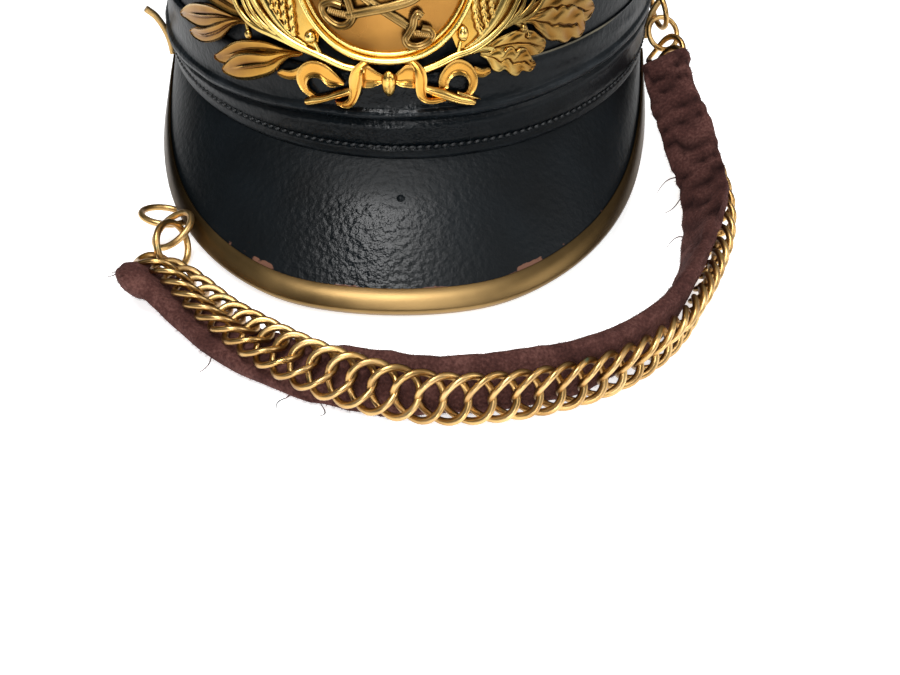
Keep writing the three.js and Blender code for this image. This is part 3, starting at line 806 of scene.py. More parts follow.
@dataclass
class Skull:
    """The domed leather body with its wrinkled band round the lower edge."""

    leather: Material
    thread: Material
    wall: float = 2.5
    segments: int = 112
    rings: int = 56
    band_steps: int = 400
    band_sides: int = 68
    band_gap: float = 0.3
    fold_height: float = 1.1
    crease_height: float = 0.3
    stitch_pitch: float = 3.0
    stitch_up: float = 4.3
    stitch_out: float = 1.8
    stitch_half: float = 1.0
    stitch_radius: float = 0.55
    stitch_slant: float = 20.0
    stitched_half_angle: float = 100.0
    # Section of the band: up from the seam, out from the dome.
    section: Table = field(default_factory=lambda: [
        (0.0, 0.3), (0.0, 1.5), (0.5, 2.0), (3.2, 2.0), (4.3, 1.5), (5.4, 2.0), (11.4, 2.0), (12.5, 1.2),
        (13.3, 2.0), (14.1, 2.8), (15.0, 3.05), (15.9, 2.8), (16.8, 1.8), (18.0, 1.5), (27.4, 1.3),
        (28.0, 0.9), (28.0, 0.3),
    ])
    # Place of the roll's middle against its even place, from plan degrees.
    roll_shift: Table = field(default_factory=lambda: [
        (-180.0, 0.0), (-95.0, -2.0), (-62.0, -5.5), (-40.0, -3.0), (-12.0, 0.0), (20.0, 0.6), (45.0, 2.6),
        (70.0, 4.0), (110.0, 2.0), (180.0, 0.0),
    ])

    def build(self) -> None:
        """Build and dress the dome, the band and its stitches."""
        dress(self.dome(), self.leather, Slot.LEATHER, "skull")
        dress(self.band(), self.leather, Slot.LEATHER, "base_band")
        dress(self.stitches(), self.thread, Slot.LEATHER)

    def dome(self) -> Piece:
        """Model the dome from the upper half of a sphere and give it its wall.

        Returns:
            The new piece.
        """
        pick()
        bpy.ops.mesh.primitive_uv_sphere_add(segments=self.segments, ring_count=self.rings, radius=1.0)
        piece = named("leather_skull")
        bpy.ops.object.mode_set(mode="EDIT")
        bpy.ops.mesh.select_all(action="SELECT")
        bpy.ops.mesh.bisect(plane_co=(0.0, 0.0, 0.0), plane_no=(0.0, 0.0, 1.0), clear_inner=True)
        bpy.ops.object.mode_set(mode="OBJECT")
        move_points(piece, self.dome_point)
        thicken(piece, self.wall, -1.0)
        return shade(piece, 40.0)

    def dome_point(self, point: Vector) -> Vector:
        """Find the dome's point for a point of the unit half-sphere.

        Args:
            point: the point on the half-sphere.

        Returns:
            The helmet point.
        """
        turn = math.atan2(point.x, -point.y)
        radius = clamp(math.hypot(point.x, point.y)) ** (2.0 / FORM.in_curve)
        height = clamp(point.z) ** (2.0 / FORM.up_curve) * FORM.height
        on_rim = point.z < 1e-4
        place = FORM.plan(turn) * radius
        place.z = FORM.seam_height(turn) if on_rim else FORM.seam + height
        return place

    def wrinkle(self, turn: float, up: float) -> float:
        """Work out how far the band's soft folds stand out.

        Args:
            turn: plan angle from the front.
            up: height above the seam.

        Returns:
            The distance in millimetres, inwards if it is negative.
        """
        side = smooth(abs(math.degrees(turn)), 18.0, 60.0)
        plan = Vector((math.sin(turn), math.cos(turn), 0.0))
        folds = noise.noise(plan * 2.4 + UP * (up / 6.0))
        creases = noise.noise(plan * 9.0 + UP * (up / 3.0 + 8.0))
        return self.fold_height * side * folds + self.crease_height * creases

    def section_at(self, bend: float) -> tuple[float, float]:
        """Read the band's section.

        Args:
            bend: the angle round its outline.

        Returns:
            The distances up and out.
        """
        count = len(self.section)
        place = (bend % FULL_TURN) / FULL_TURN * count
        row = int(place) % count
        before, after = self.section[row], self.section[(row + 1) % count]
        share = place - int(place)
        return mix(before[0], after[0], share), mix(before[1], after[1], share)

    def band(self) -> Piece:
        """Model the band as one ring with its groove, roll and folds.

        Returns:
            The new piece.
        """
        def place(turn: float, bend: float) -> Vector:
            """Place a point of the band by its two angles."""
            up, out = self.section_at(bend)
            shift = along_table(self.roll_shift, math.degrees(turn))
            inner = smooth(up, 5.2, 12.0) * (1.0 - smooth(up, 18.0, 27.0))
            lifted = up + shift * inner
            outer = smooth(out, 0.5, 1.3)
            proud = out + outer * self.wrinkle(turn, lifted) * smooth(up, 5.0, 9.0)
            return FORM.skin(turn, FORM.over_seam(turn, lifted), max(self.band_gap, proud))

        # The grey streaks are wear, with a painted highlight on the roll and along the lower edge
        marks = {Mark.SCUFFED: self.scuffing, Mark.CUT: self.raw_edge, Mark.GLOSSED: self.band_gloss}
        piece = closed_ring("leather_base_band", self.band_steps, self.band_sides, place, marks)
        return shade(piece, 50.0)

    def scuffing(self, turn: float, bend: float) -> float:
        """Work out the band's grey streaks: wear at the sides, and wear with a painted highlight on the roll
        and along the lower edge.

        Args:
            turn: plan angle from the front.
            bend: the angle round the section.

        Returns:
            A share of 0 to 1.
        """
        up, _ = self.section_at(bend)
        degrees = abs(math.degrees(turn))
        roll = bell(up, 15.0, 1.6)
        edge = bell(up, 0.5, 1.0)
        side = smooth(degrees, 18.0, 45.0) * (1.0 - smooth(degrees, 85.0, 120.0)) * smooth(up, 5.0, 9.0)
        return clamp(0.35 * roll + 0.4 * edge + 0.12 * side)

    def band_gloss(self, turn: float, bend: float) -> float:
        """Return how glossy the band's varnish still is: most in the middle of the front."""
        up, _ = self.section_at(bend)
        return (0.15 + 0.85 * bell(math.degrees(turn), 1.0, 19.0)) * smooth(up, 0.0, 4.0)

    def raw_edge(self, turn: float, bend: float) -> float:
        """Work out how much of the hide's pale cut edge shows: only at the top of the band, on its right.

        Args:
            turn: plan angle from the front.
            bend: the angle round the section.

        Returns:
            A share of 0 to 1.
        """
        up, out = self.section_at(bend)
        degrees = math.degrees(turn)
        right = smooth(degrees, 22.0, 30.0) * (1.0 - smooth(degrees, 44.0, 56.0))
        return 0.55 * right * smooth(up, 27.5, 27.8) * smooth(out, 0.4, 0.9)

    def stitches(self) -> Piece:
        """Model one stitch and copy it along the front of the band.

        Returns:
            The row of stitches as one piece.
        """
        half_angle = self.stitched_half_angle
        count = int(2.0 * FORM.half_length * math.radians(half_angle) / self.stitch_pitch)
        stitch = self.stitch()
        copies = []
        for number in range(count):
            turn = math.radians(mix(-half_angle, half_angle, (number + 0.5) / count))
            height = FORM.over_seam(turn, self.stitch_up)
            middle = FORM.skin(turn, height, self.stitch_out)
            ahead = (FORM.skin(turn + 0.001, height, self.stitch_out) - middle).normalized()
            out = FORM.outward(turn)
            turned = Matrix((ahead, out.cross(ahead), out)).transposed().to_4x4()
            matrix = Matrix.Translation(to_part(middle)) @ turned @ Matrix.Translation(-AXIS_FOOT)
            copies.append(copy_of(stitch, matrix))
        bpy.data.objects.remove(stitch)
        return shade(join("band_stitches", copies), 60.0)

    def stitch(self) -> Piece:
        """Model one slanted stitch as a short fat bar that dives at both ends.

        Returns:
            The new piece, at the helmet's axis.
        """
        slant = Matrix.Rotation(math.radians(self.stitch_slant), 3, "Z")

        def place(along: float, x: float, y: float) -> Vector:
            """Place a point of the stitch."""
            run = along * 2.0 - 1.0
            thick = self.stitch_radius * arch(run, 0.06)
            rise = 0.35 * (1.0 - run * run) + y * thick * 0.8
            return slant @ Vector((run * self.stitch_half, x * thick, rise))

        return long_tube("stitch", 8, 6, place)


@dataclass(frozen=True)
class PeakForm:
    """Slope of a peak: how far it reaches and drops at an angle from its middle."""

    facing: float
    reach: float
    edge_height: float
    spread: float
    dip: float
    half_angle: float
    flat: float
    thick: float = 2.4
    bow: float = 0.9
    gap: float = 0.3

    def fullness(self, angle: float) -> float:
        """Work out the share of the peak's reach: all of it in the middle, easing to the sides.

        Args:
            angle: plan angle from the peak's middle.

        Returns:
            The share.
        """
        ease = 0.01
        share = math.cos(angle) / math.cos(self.flat)
        return share - ease * math.log1p(math.exp((share - 1.0) / ease))

    def point(self, angle: float, share: float) -> Vector:
        """Find a point in the middle of the peak's wall.

        Args:
            angle: plan angle from the peak's middle.
            share: the place from its root at 0 to its edge at 1.

        Returns:
            The helmet point.
        """
        turn = self.facing + angle
        full = self.fullness(angle)
        reach = self.reach * full ** self.spread
        root = FORM.seam_height(turn) - self.gap
        drop = (root - self.edge_height) * full ** self.dip
        point = FORM.plan(turn) + FORM.outward(turn) * (reach * share ** self.bow)
        point.z = root - drop * share
        return point

    def directions(self, angle: float) -> tuple[Vector, Vector]:
        """Find the slope's directions at the peak's edge.

        Args:
            angle: plan angle from the peak's middle.

        Returns:
            The directions down and out.
        """
        down = (self.point(angle, 1.0) - self.point(angle, 0.8)).normalized()
        level = FORM.outward(self.facing + angle)
        return down, (level * -down.z + UP * down.dot(level)).normalized()


FRONT_PEAK = PeakForm(
    facing=0.0, reach=41.0, edge_height=2.4, spread=2.2, dip=0.87,
    half_angle=math.radians(80.0), flat=math.radians(12.0),
)
REAR_PEAK = PeakForm(
    facing=math.pi, reach=20.0, edge_height=0.0, spread=1.6, dip=1.2,
    half_angle=math.radians(80.0), flat=math.radians(30.0),
)


@dataclass
class Peaks:
    """The two leather peaks and the brass channel on the front one's edge."""

    leather: Material
    brass: Material
    columns: int = 160
    rows: int = 36
    uneven_size: float = 28.0
    uneven_height: float = 0.5
    nail_angle: float = 1.25
    nail_share: float = 0.27
    nail_radius: float = 1.5
    gloss_x: float = -6.0
    gloss_half: float = 19.0
    # Chips in the varnish above the channel: across, and half width.
    chips: Table = field(default_factory=lambda: [(-40.0, 5.0), (-14.0, 4.0), (14.0, 6.0), (42.0, 4.0)])
    # Section of the channel: down the slope from the peak's edge, and out along the slope's normal.
    channel: Table = field(default_factory=lambda: [
        (-6.2, 1.5), (-6.3, 1.9), (-6.0, 2.2), (-3.0, 2.45), (0.4, 2.4), (1.2, 1.9), (1.5, 0.9), (1.5, -0.9),
        (1.2, -1.9), (0.4, -2.4), (-4.0, -2.4), (-4.2, -1.9), (-4.1, -1.55), (0.2, -1.55), (0.35, 0.0),
        (0.2, 1.5),
    ])
    channel_end: tuple[float, float] = (1.0, 0.0)

    def build(self) -> None:
        """Build and dress both peaks, the channel and the nail."""
        front = join("leather_front_peak", [self.peak("front", FRONT_PEAK), self.nail()])
        mark(front, Mark.WORN, self.edge_wear)
        mark(front, Mark.GLOSSED, self.gloss)
        dress(front, self.leather, Slot.LEATHER, "front_peak")
        dress(self.peak("leather_rear_peak", REAR_PEAK), self.leather, Slot.LEATHER, "rear_peak")
        trim = self.trim()
        mark(trim, Mark.RAISED, lambda p: 0.55)
        # Painted shade towards the channel's sides, leaving its front middle bright like a painted highlight
        mark(trim, Mark.DULLED, lambda p: 0.15 + 0.85 * smooth(abs(p.x), 15.0, 80.0))
        dress(trim, self.brass, Slot.OLD_BRASS, "peak_trim")

    def peak(self, name: str, form: PeakForm) -> Piece:
        """Model a peak from a sheet with its wall, its faces gently uneven.

        Args:
            name: the piece's name.
            form: its slope.

        Returns:
            The new piece.
        """
        def place(along: float, across: float) -> Vector:
            """Place a point of the peak by its shares along and down the slope."""
            angle = (along * 2.0 - 1.0) * form.half_angle
            point = form.point(angle, across)
            uneven = noise.noise(point / self.uneven_size) * self.uneven_height * math.sin(math.pi * across)
            return point + FORM.outward(form.facing + angle) * uneven

        piece = sheet_of(name, self.columns, self.rows, place)
        thicken(piece, form.thick, 0.0)
        move_points(piece, lambda p: above_table(to_helmet(p)))
        return shade(piece, 50.0)

    def nail(self) -> Piece:
        """Model the flat head of the nail in the front peak.

        Returns:
            The new piece.
        """
        angle = math.radians(self.nail_angle)
        down, normal = FRONT_PEAK.directions(angle)
        middle = FRONT_PEAK.point(angle, self.nail_share) + normal * (FRONT_PEAK.thick / 2.0)
        side = normal.cross(down)

        def place(along: float, x: float, y: float) -> Vector:
            """Place a point of the nail."""
            wide = self.nail_radius * arch(along, 0.02)
            return middle + (side * x + down * y) * wide + normal * mix(-0.6, 0.7, along)

        return shade(long_tube("nail", 16, 6, place), 60.0)

    @staticmethod
    def channel_share(angle: float) -> float:
        """Return the share of the channel's depth that is left at an angle: all of it in the middle."""
        return 0.5 + 0.5 * math.cos(angle)

    def edge_wear(self, point: Vector) -> float:
        """Work out how bare the hide of the front peak is: in chips just above its brass edge.

        Args:
            point: the helmet point.

        Returns:
            A share of 0 to 1.
        """
        turn = FORM.turn_of(point)
        down, _ = FRONT_PEAK.directions(turn)
        cover = -self.channel[1][0] * self.channel_share(turn)
        above = (FRONT_PEAK.point(turn, 1.0) - point).dot(down) - cover
        chip = max(bell(point.x, middle, half) for middle, half in self.chips)
        return (1.0 - smooth(above, 0.3, 1.1 + 1.2 * chip)) * (0.46 + 0.36 * chip)

    def gloss(self, point: Vector) -> float:
        """Work out how glossy the varnish still is: most in the middle of the front peak.

        Args:
            point: the helmet point.

        Returns:
            A share of 0 to 1.
        """
        turn = FORM.turn_of(point)
        root, edge = FRONT_PEAK.point(turn, 0.0), FRONT_PEAK.point(turn, 1.0)
        share = clamp((root.z - point.z) / max(1.0, root.z - edge.z))
        return clamp(bell(point.x, self.gloss_x, self.gloss_half) * smooth(share, 0.12, 0.35))

    def trim(self) -> Piece:
        """Model the brass channel as one bar bent along the peak's edge.

        Returns:
            The new piece.
        """
        count = len(self.channel)

        def place(along: float, x: float, y: float) -> Vector:
            """Place a point of the channel, a corner of its section."""
            angle = (along * 2.0 - 1.0) * FRONT_PEAK.half_angle
            corner = round((math.atan2(y, x) % FULL_TURN) / FULL_TURN * count) % count
            low, out = self.channel[corner] if math.hypot(x, y) > 0.5 else self.channel_end
            if low < 0.0:
                low *= self.channel_share(angle)
            down, normal = FRONT_PEAK.directions(angle)
            return above_table(FRONT_PEAK.point(angle, 1.0) + down * low + normal * out)

        return shade(long_tube("brass_peak_trim", count, 200, place), 55.0)


# The front plate


Flat = tuple[float, float]


def smooth_line(points: list[Vector], share: float) -> Vector:
    """Follow a smooth line through points, as evenly bent as their spacing allows.

    Args:
        points: the points, in order.
        share: the place, from 0 at the first point to 1 at the last.

    Returns:
        The point on the line.
    """
    last = len(points) - 1
    row = min(last - 1, int(share * last))
    part = share * last - row
    start, end = points[row], points[row + 1]
    before = points[row - 1] if row > 0 else start * 2.0 - end
    after = points[row + 2] if row + 2 <= last else end * 2.0 - start
    pairs = ((before, start), (start, end), (end, after))
    gaps = [max(1e-4, (second - first).length_squared ** 0.25) for first, second in pairs]
    leave = (start - before) / gaps[0] - (end - before) / (gaps[0] + gaps[1]) + (end - start) / gaps[1]
    arrive = (end - start) / gaps[1] - (after - start) / (gaps[1] + gaps[2]) + (after - end) / gaps[2]
    leave *= gaps[1]
    arrive *= gaps[1]
    square = -3.0 * start + 3.0 * end - 2.0 * leave - arrive
    cube = 2.0 * start - 2.0 * end + leave + arrive
    return start + leave * part + square * part ** 2 + cube * part ** 3


class FlatLine:
    """A smooth line through points on the flat plate, read by its share of length."""

    count = 200

    def __init__(self, points: list[Flat]) -> None:
        """Lay the line through points and space it evenly.

        Args:
            points: the points, in order.
        """
        rows = [Vector((u, v, 0.0)) for u, v in points]
        fine = [smooth_line(rows, number / self.count) for number in range(self.count + 1)]
        travelled = [0.0]
        for before, after in zip(fine, fine[1:]):
            travelled.append(travelled[-1] + (after - before).length)
        self.points = []
        row = 0
        for number in range(self.count + 1):
            goal = travelled[-1] * number / self.count
            while row < self.count - 1 and travelled[row + 1] < goal:
                row += 1
            stride = max(1e-9, travelled[row + 1] - travelled[row])
            self.points.append(fine[row].lerp(fine[row + 1], clamp((goal - travelled[row]) / stride)))

    def at(self, share: float) -> Vector:
        """Find a point of the line.

        Args:
            share: the share of its length.

        Returns:
            The point.
        """
        place = clamp(share) * self.count
        row = min(self.count - 1, int(place))
        return self.points[row].lerp(self.points[row + 1], place - row)

    def beside(self, share: float, aside: float) -> Vector:
        """Find a point beside the line.

        Args:
            share: the share of its length.
            aside: the distance to its right.

        Returns:
            The point.
        """
        step = 1.0 / self.count
        heading = (self.at(share + step) - self.at(share - step)).normalized()
        return self.at(share) + Vector((heading.y, -heading.x, 0.0)) * aside


class Relief(Enum):
    """How a stamped shape is modelled across its width."""

    LAUREL = "laurel_leaf"
    OAK = "oak_leaf"
    RIBBON = "ribbon"
    TWIG = "twig"
    BLADE = "blade"


class Stamping(NamedTuple):
    """A stamped shape on the flat plate: its level, its height and its two edges from base to tip."""

    relief: Relief
    level: float
    rise: float
    first: list[Flat]
    second: list[Flat]
    lobes: float = 3.0


def plain_leaf(relief: Relief, foot: Flat, end: Flat, width: float) -> Stamping:
    """Draw a plain leaf of the upper wreath.

    Args:
        relief: the kind of leaf.
        foot: its base.
        end: its tip.
        width: its greatest width.

    Returns:
        The stamped shape.
    """
    base, tip = Vector(foot), Vector(end)
    side = Vector((tip.y - base.y, base.x - tip.x)).normalized()
    depth = 0.2 if relief is Relief.OAK else 0.0
    last = 14
    edges: list[list[Flat]] = [[], []]
    for edge, hand in zip(edges, (-1.0, 1.0)):
        for number in range(last + 1):
            share = number / last
            swell = math.sin(math.pi * clamp(0.04 + 0.93 * share) ** 1.1) ** 0.8
            lobes = 1.0 + depth * math.cos(FULL_TURN * 3.0 * share + math.pi)
            point = base.lerp(tip, share) + side * (hand * width / 2.0 * swell * lobes)
            edge.append((point.x, point.y))
    return Stamping(relief, 0.4, 1.2, edges[0], edges[1])


STAMPINGS = [
    # Lower pair of laurel leaves, the back one and the front one
    Stamping(
        Relief.LAUREL, 0, 1.25,
        [(-28, 32.6), (-32.2, 32.7), (-36.4, 33.1), (-40.6, 33.5), (-44.3, 33.3), (-48, 32.6),
         (-51.2, 31.7), (-54.3, 30.3), (-58.5, 27.5), (-61.7, 25.1), (-64.4, 22.9), (-65.2, 22)],
        [(-28, 31.4), (-34, 29.6), (-42, 26.8), (-50, 23.6), (-56, 21.8), (-60.4, 21.1), (-63.3, 21.1),
         (-65.2, 21.8)],
    ),
    Stamping(
        Relief.LAUREL, 1.1, 1.25,
        [(-28.5, 32.1), (-32.2, 31.9), (-35.4, 31.4), (-38.5, 30.6), (-42, 29.9), (-45.9, 29.4),
         (-49, 28.7), (-52.2, 27.4), (-55.4, 25.3), (-57.5, 23.4), (-59.4, 21.3), (-60.6, 19.5)],
        [(-28.5, 31.4), (-31.7, 30.6), (-33.8, 28.9), (-35.4, 27.4), (-36.9, 25.5), (-39.6, 23.4),
         (-43.3, 21.5), (-47, 19.9), (-51.2, 18.7), (-54.3, 18.3), (-58.5, 18.5), (-60.6, 19.1)],
    ),
    # Upper pair of laurel leaves and the leaf above them
    Stamping(
        Relief.LAUREL, 0.2, 1.1,
        [(-47, 41.5), (-52, 42.6), (-58.5, 44.2), (-66, 45.6), (-73, 45.4), (-79, 43)],
        [(-47, 39.2), (-52, 38.3), (-58, 38.6), (-66, 39.6), (-73, 40.6), (-79, 42.6)],
    ),
    Stamping(
        Relief.LAUREL, 0.6, 1.15,
        [(-48, 38.4), (-53, 38.2), (-58, 38.6), (-63.8, 38.8), (-68, 38.2), (-72.2, 37.2), (-76.4, 35.4),
         (-80.1, 33.1), (-83.3, 30.7), (-84.2, 29.7)],
        [(-48, 37.4), (-54, 36.2), (-60.6, 33.4), (-65, 31), (-70, 29.4), (-75, 29), (-79, 29.2),
         (-82.7, 29), (-84.2, 29.4)],
    ),
    Stamping(
        Relief.LAUREL, 1.4, 1.15,
        [(-46.5, 37.9), (-51.2, 37.6), (-55.4, 36.4), (-59.6, 34.4), (-63.3, 32.6), (-66.9, 31),
         (-70.1, 29.9), (-73.8, 28.9), (-76.2, 27.4), (-76.9, 26.4)],
        [(-46.5, 37.1), (-49.6, 36.7), (-52.2, 35.4), (-54.3, 33.6), (-56.4, 31.7), (-58.5, 29.9),
         (-61.7, 28.1), (-65.4, 26.5), (-69, 25.5), (-72.2, 25.2), (-74.8, 25.3), (-76.9, 26)],
    ),
    # Lower oak leaf: the back half and the scalloped front half
    Stamping(
        Relief.OAK, 0.2, 1.2,
        [(27, 34.2), (29.6, 35.6), (33, 37.2), (36.4, 38.2), (39.4, 38.4), (42.4, 38), (44.6, 37.5),
         (46.4, 36.2), (47.6, 35), (49, 34), (49.6, 32.6), (49.4, 31.6)],
        [(27, 33.2), (32, 32), (37, 31), (42, 30), (44.5, 29.4), (46.6, 29.5), (48.4, 30.2), (49.4, 31.2)],
        4,
    ),
    Stamping(
        Relief.OAK, 1, 1.25,
        [(27, 33.6), (29.6, 33.4), (31.6, 34.4), (33.4, 34.4), (34.4, 33.2), (35.8, 34.2), (37.6, 34),
         (38.4, 32.6), (40, 33.4), (41.8, 33), (42.8, 31.8), (43.6, 30.4), (44.2, 29), (45.4, 28),
         (45.9, 27)],
        [(27, 32.6), (28.8, 31.4), (29.9, 29.6), (30.9, 27.7), (32.6, 27), (34.4, 27.5), (35.6, 26.6),
         (37, 25.2), (39, 24.6), (40.6, 25.8), (42.2, 25.3), (44.2, 25.2), (45.7, 26.4)],
        4,
    ),
    # Upper oak leaf: the front half and the lobed back half
    Stamping(
        Relief.OAK, 0.2, 1.2,
        [(38, 41.4), (42, 43.6), (46, 45.4), (50, 46.6), (54, 46), (57, 46.2), (60.5, 44.8), (63.5, 44.2),
         (66, 42.2), (68.4, 40.8), (70, 38.4)],
        [(38, 40.2), (44, 40), (50, 38.8), (56, 37.4), (61, 36), (64.3, 34.8), (66.4, 34.9), (68.4, 35.9),
         (70, 37.6)],
        4,
    ),
    Stamping(
        Relief.OAK, 1, 1.25,
        [(38, 41), (44, 41.6), (49, 42.4), (51.4, 43), (53, 41.9), (55.4, 42.8), (57, 41.6), (59.4, 42),
         (61.4, 40.6), (63.4, 39.6), (64, 37.4), (65, 35.4), (65.2, 33.4)],
        [(38, 40.2), (42, 39.9), (43.8, 39.2), (45.2, 37.6), (46.8, 36), (48.8, 34), (51, 32.7),
         (53.5, 32.2), (55.4, 31), (57.6, 30.8), (58.9, 31.8), (60.6, 31.1), (63, 31.1), (65, 32.6)],
        4,
    ),
    # Curls of the ribbon with their tails, left and right
    Stamping(
        Relief.RIBBON, 0.3, 1.4,
        [(-26.3, 19), (-28.9, 20.8), (-30.3, 23.6), (-29.9, 26.6), (-27.8, 29.4), (-24.2, 30.9),
         (-20.4, 30.2), (-17.2, 27.9), (-14.6, 24.9)],
        [(-24.4, 20.2), (-26.1, 21.4), (-26.7, 23.1), (-25.8, 24.8), (-23.7, 25.5), (-21.6, 25),
         (-20.5, 23.7), (-19.2, 23), (-15.2, 24.2)],
    ),
    Stamping(
        Relief.RIBBON, 0.3, 1.2,
        [(-28.8, 28.2), (-31.5, 26.7), (-33.3, 26.2), (-35.4, 26), (-37.3, 24.7)],
        [(-29.4, 23.9), (-31.5, 23.5), (-33.5, 23.3), (-35.6, 23.5), (-37.3, 24.2)],
    ),
    Stamping(
        Relief.RIBBON, 0.3, 1.4,
        [(24.2, 20.6), (25.9, 22.8), (26.3, 26), (25, 29.4), (22.4, 31.8), (19.6, 32.5), (16.8, 31.2),
         (14.8, 28.8), (14, 26.2), (14.2, 24.4)],
        [(22, 21.6), (23.1, 23.2), (23.3, 25), (22.2, 26.8), (20.2, 27.4), (18.2, 26.8), (17.2, 25),
         (17.3, 23.8), (16.2, 23.6)],
    ),
    Stamping(
        Relief.RIBBON, 0.3, 1.2,
        [(25.2, 29.8), (26.4, 29.3), (27.9, 28.6), (29.4, 28.8), (30.5, 28.1)],
        [(25.6, 26.4), (26.6, 26), (27.9, 25.9), (29.4, 26.3), (30.5, 27)],
    ),
    # Cut ends of the stems
    Stamping(
        Relief.TWIG, 0.9, 1.9,
        [(-12, 24.4), (-17, 22.7), (-21.7, 20.7), (-25.4, 19.7), (-28.1, 18.3)],
        [(-12, 21.6), (-18, 19.5), (-21.7, 18), (-24.8, 16.7), (-27.2, 16.1)],
    ),
    Stamping(
        Relief.TWIG, 0.9, 1.9,
        [(9.4, 25.6), (15.1, 24.2), (20.3, 21.8), (24, 20.4), (25.9, 19.3)],
        [(9.4, 22.8), (15.1, 20.4), (19.3, 18.8), (22.4, 17.8), (24.9, 17.5)],
    ),
    Stamping(
        Relief.TWIG, 0.4, 1.2,
        [(20, 22.6), (23.6, 21.4), (27.4, 19.4)],
        [(20, 20.6), (23.6, 19.8), (27.2, 19.2)],
    ),
    # Wings of the bow
    Stamping(
        Relief.RIBBON, 0.5, 1.7,
        [(-2, 28.2), (-4, 29.4), (-6.5, 31), (-9.4, 32)],
        [(-2, 26), (-4.2, 25.2), (-6.4, 24.2), (-9.4, 23.8)],
    ),
    Stamping(
        Relief.RIBBON, 0.5, 1.7,
        [(0.6, 28.4), (2.4, 30.2), (4.2, 31.7), (7.4, 31.6)],
        [(0.6, 26.2), (2, 25.2), (4, 24.6), (7.2, 24)],
    ),
    # Folds of the ribbon over the stems
    Stamping(
        Relief.RIBBON, 1.9, 1.7,
        [(-8.6, 32.6), (-10.4, 31.4), (-11.9, 29.6), (-12.7, 27.2), (-12.6, 23.8), (-13.2, 21.2),
         (-15, 19.8), (-17.6, 19.6)],
        [(-6.6, 31.4), (-7.8, 30.4), (-8.5, 28.8), (-8.5, 26.4), (-9.4, 22.8), (-11.2, 19.5), (-13.4, 17.8),
         (-17, 18.2)],
    ),
    Stamping(
        Relief.RIBBON, 1.9, 1.7,
        [(4.6, 32.4), (5.6, 31.6), (6.5, 30.2), (6.9, 27.8), (6.9, 24.8), (7.5, 22.4), (9.4, 20.6),
         (12.4, 19.9), (16.2, 20.3)],
        [(6.6, 33.4), (8.4, 32.2), (9.9, 30.4), (10.6, 27.8), (10.2, 24.6), (10.2, 22.6), (11.2, 21.8),
         (13.2, 21.6), (16, 21.4)],
    ),
    # Smooth blades that lie along the inner side of both stems
    Stamping(
        Relief.BLADE, 0.8, 1.5,
        [(-26, 34.6), (-30, 36), (-34, 38.2), (-37.4, 41), (-40.6, 44.4), (-43, 48.4), (-45, 53)],
        [(-26, 35.2), (-29.4, 36.9), (-32.4, 39.2), (-35.4, 42.2), (-38, 46), (-40.4, 49.6), (-45, 53)],
    ),
    Stamping(
        Relief.BLADE, 0.8, 1.5,
        [(22, 35), (25.4, 36.2), (28.8, 38.4), (31.8, 41), (34.4, 44.4), (36.4, 48), (38.4, 53)],
        [(22, 35.6), (24.8, 37.4), (27.4, 40), (29.8, 43), (32, 46.4), (34.4, 49.8), (38.4, 53)],
    ),
]

PLAIN_LEAVES = [
    plain_leaf(Relief.LAUREL, (-47, 57), (-81, 57), 10),
    plain_leaf(Relief.LAUREL, (-46, 66.5), (-77, 69), 9),
    plain_leaf(Relief.LAUREL, (-48, 71), (-75, 80), 9.5),
    plain_leaf(Relief.LAUREL, (-44, 83), (-63, 97), 9),
    plain_leaf(Relief.LAUREL, (-36, 94), (-45, 110), 8.5),
    plain_leaf(Relief.LAUREL, (-32, 97), (-22, 110), 8),
    plain_leaf(Relief.OAK, (45, 56), (72, 58), 14),
    plain_leaf(Relief.OAK, (46, 70), (70, 79), 13.5),
    plain_leaf(Relief.OAK, (42, 84), (60, 97), 13),
    plain_leaf(Relief.OAK, (34, 95), (42, 111), 12),
    plain_leaf(Relief.OAK, (31, 97), (19, 110), 10),
]

LEFT_STEM: list[Flat] = [
    (-8, 29.6), (-14.3, 30.2), (-19.6, 31.9), (-24, 33.2), (-30.1, 35), (-35.4, 37.4), (-39.4, 40.2),
    (-43.3, 44), (-46.6, 50), (-48.6, 58), (-48.6, 68), (-45.5, 80), (-38, 92), (-30, 99),
]
RIGHT_STEM: list[Flat] = [
    (7, 29), (12.9, 30.9), (19.3, 33.5), (23.5, 34.4), (28, 36.4), (32.6, 39.4), (36, 42.6), (39, 47),
    (43, 53), (47, 61), (48, 69), (45.5, 80), (38, 92), (30, 99),
]
# Thinner twigs: the line, and half the width
TWIGS: list[tuple[list[Flat], float]] = [
    ([(-22, 32.4), (-28.5, 33.9), (-33, 35.1), (-38, 36.1), (-43, 36.9), (-47, 38.4), (-50.2, 41),
      (-52, 44), (-53, 49)], 0.95),
    ([(-36, 36.6), (-41, 38.6), (-44.6, 41.6), (-47, 45.6), (-48.4, 50)], 0.8),
    ([(-40, 37), (-45, 39.6), (-48, 43.2), (-49.6, 48)], 0.7),
    ([(24, 34), (28, 34.6), (31, 34.2)], 0.8),
    ([(29, 37.2), (35, 40.4), (39.6, 43.6), (42, 48), (44, 53)], 0.8),
    ([(33, 39.4), (39, 41.6), (43.4, 44.6), (46, 49)], 0.8),
    ([(36, 40.6), (41, 41), (45, 42.4), (48.6, 46)], 0.7),
]
STRANDS: list[list[Flat]] = [
    [(-29.8, 37.2), (-30.3, 42), (-30.6, 47.5), (-31.4, 54)],
    [(-32, 38.6), (-32.9, 43), (-33.4, 48), (-34.4, 54)],
    [(-34.4, 41), (-35.4, 44.6), (-36.2, 49.5), (-37.4, 55)],
    [(-36.6, 43.4), (-38.2, 47.4), (-39.4, 52), (-40.6, 57)],
    [(27.4, 38.4), (25.8, 42), (25, 47.5), (25.4, 54)],
    [(29.2, 40.4), (28.1, 43.4), (27.6, 48), (28.2, 54)],
    [(31, 42.8), (30.3, 45.6), (30.2, 49), (31, 55)],
]
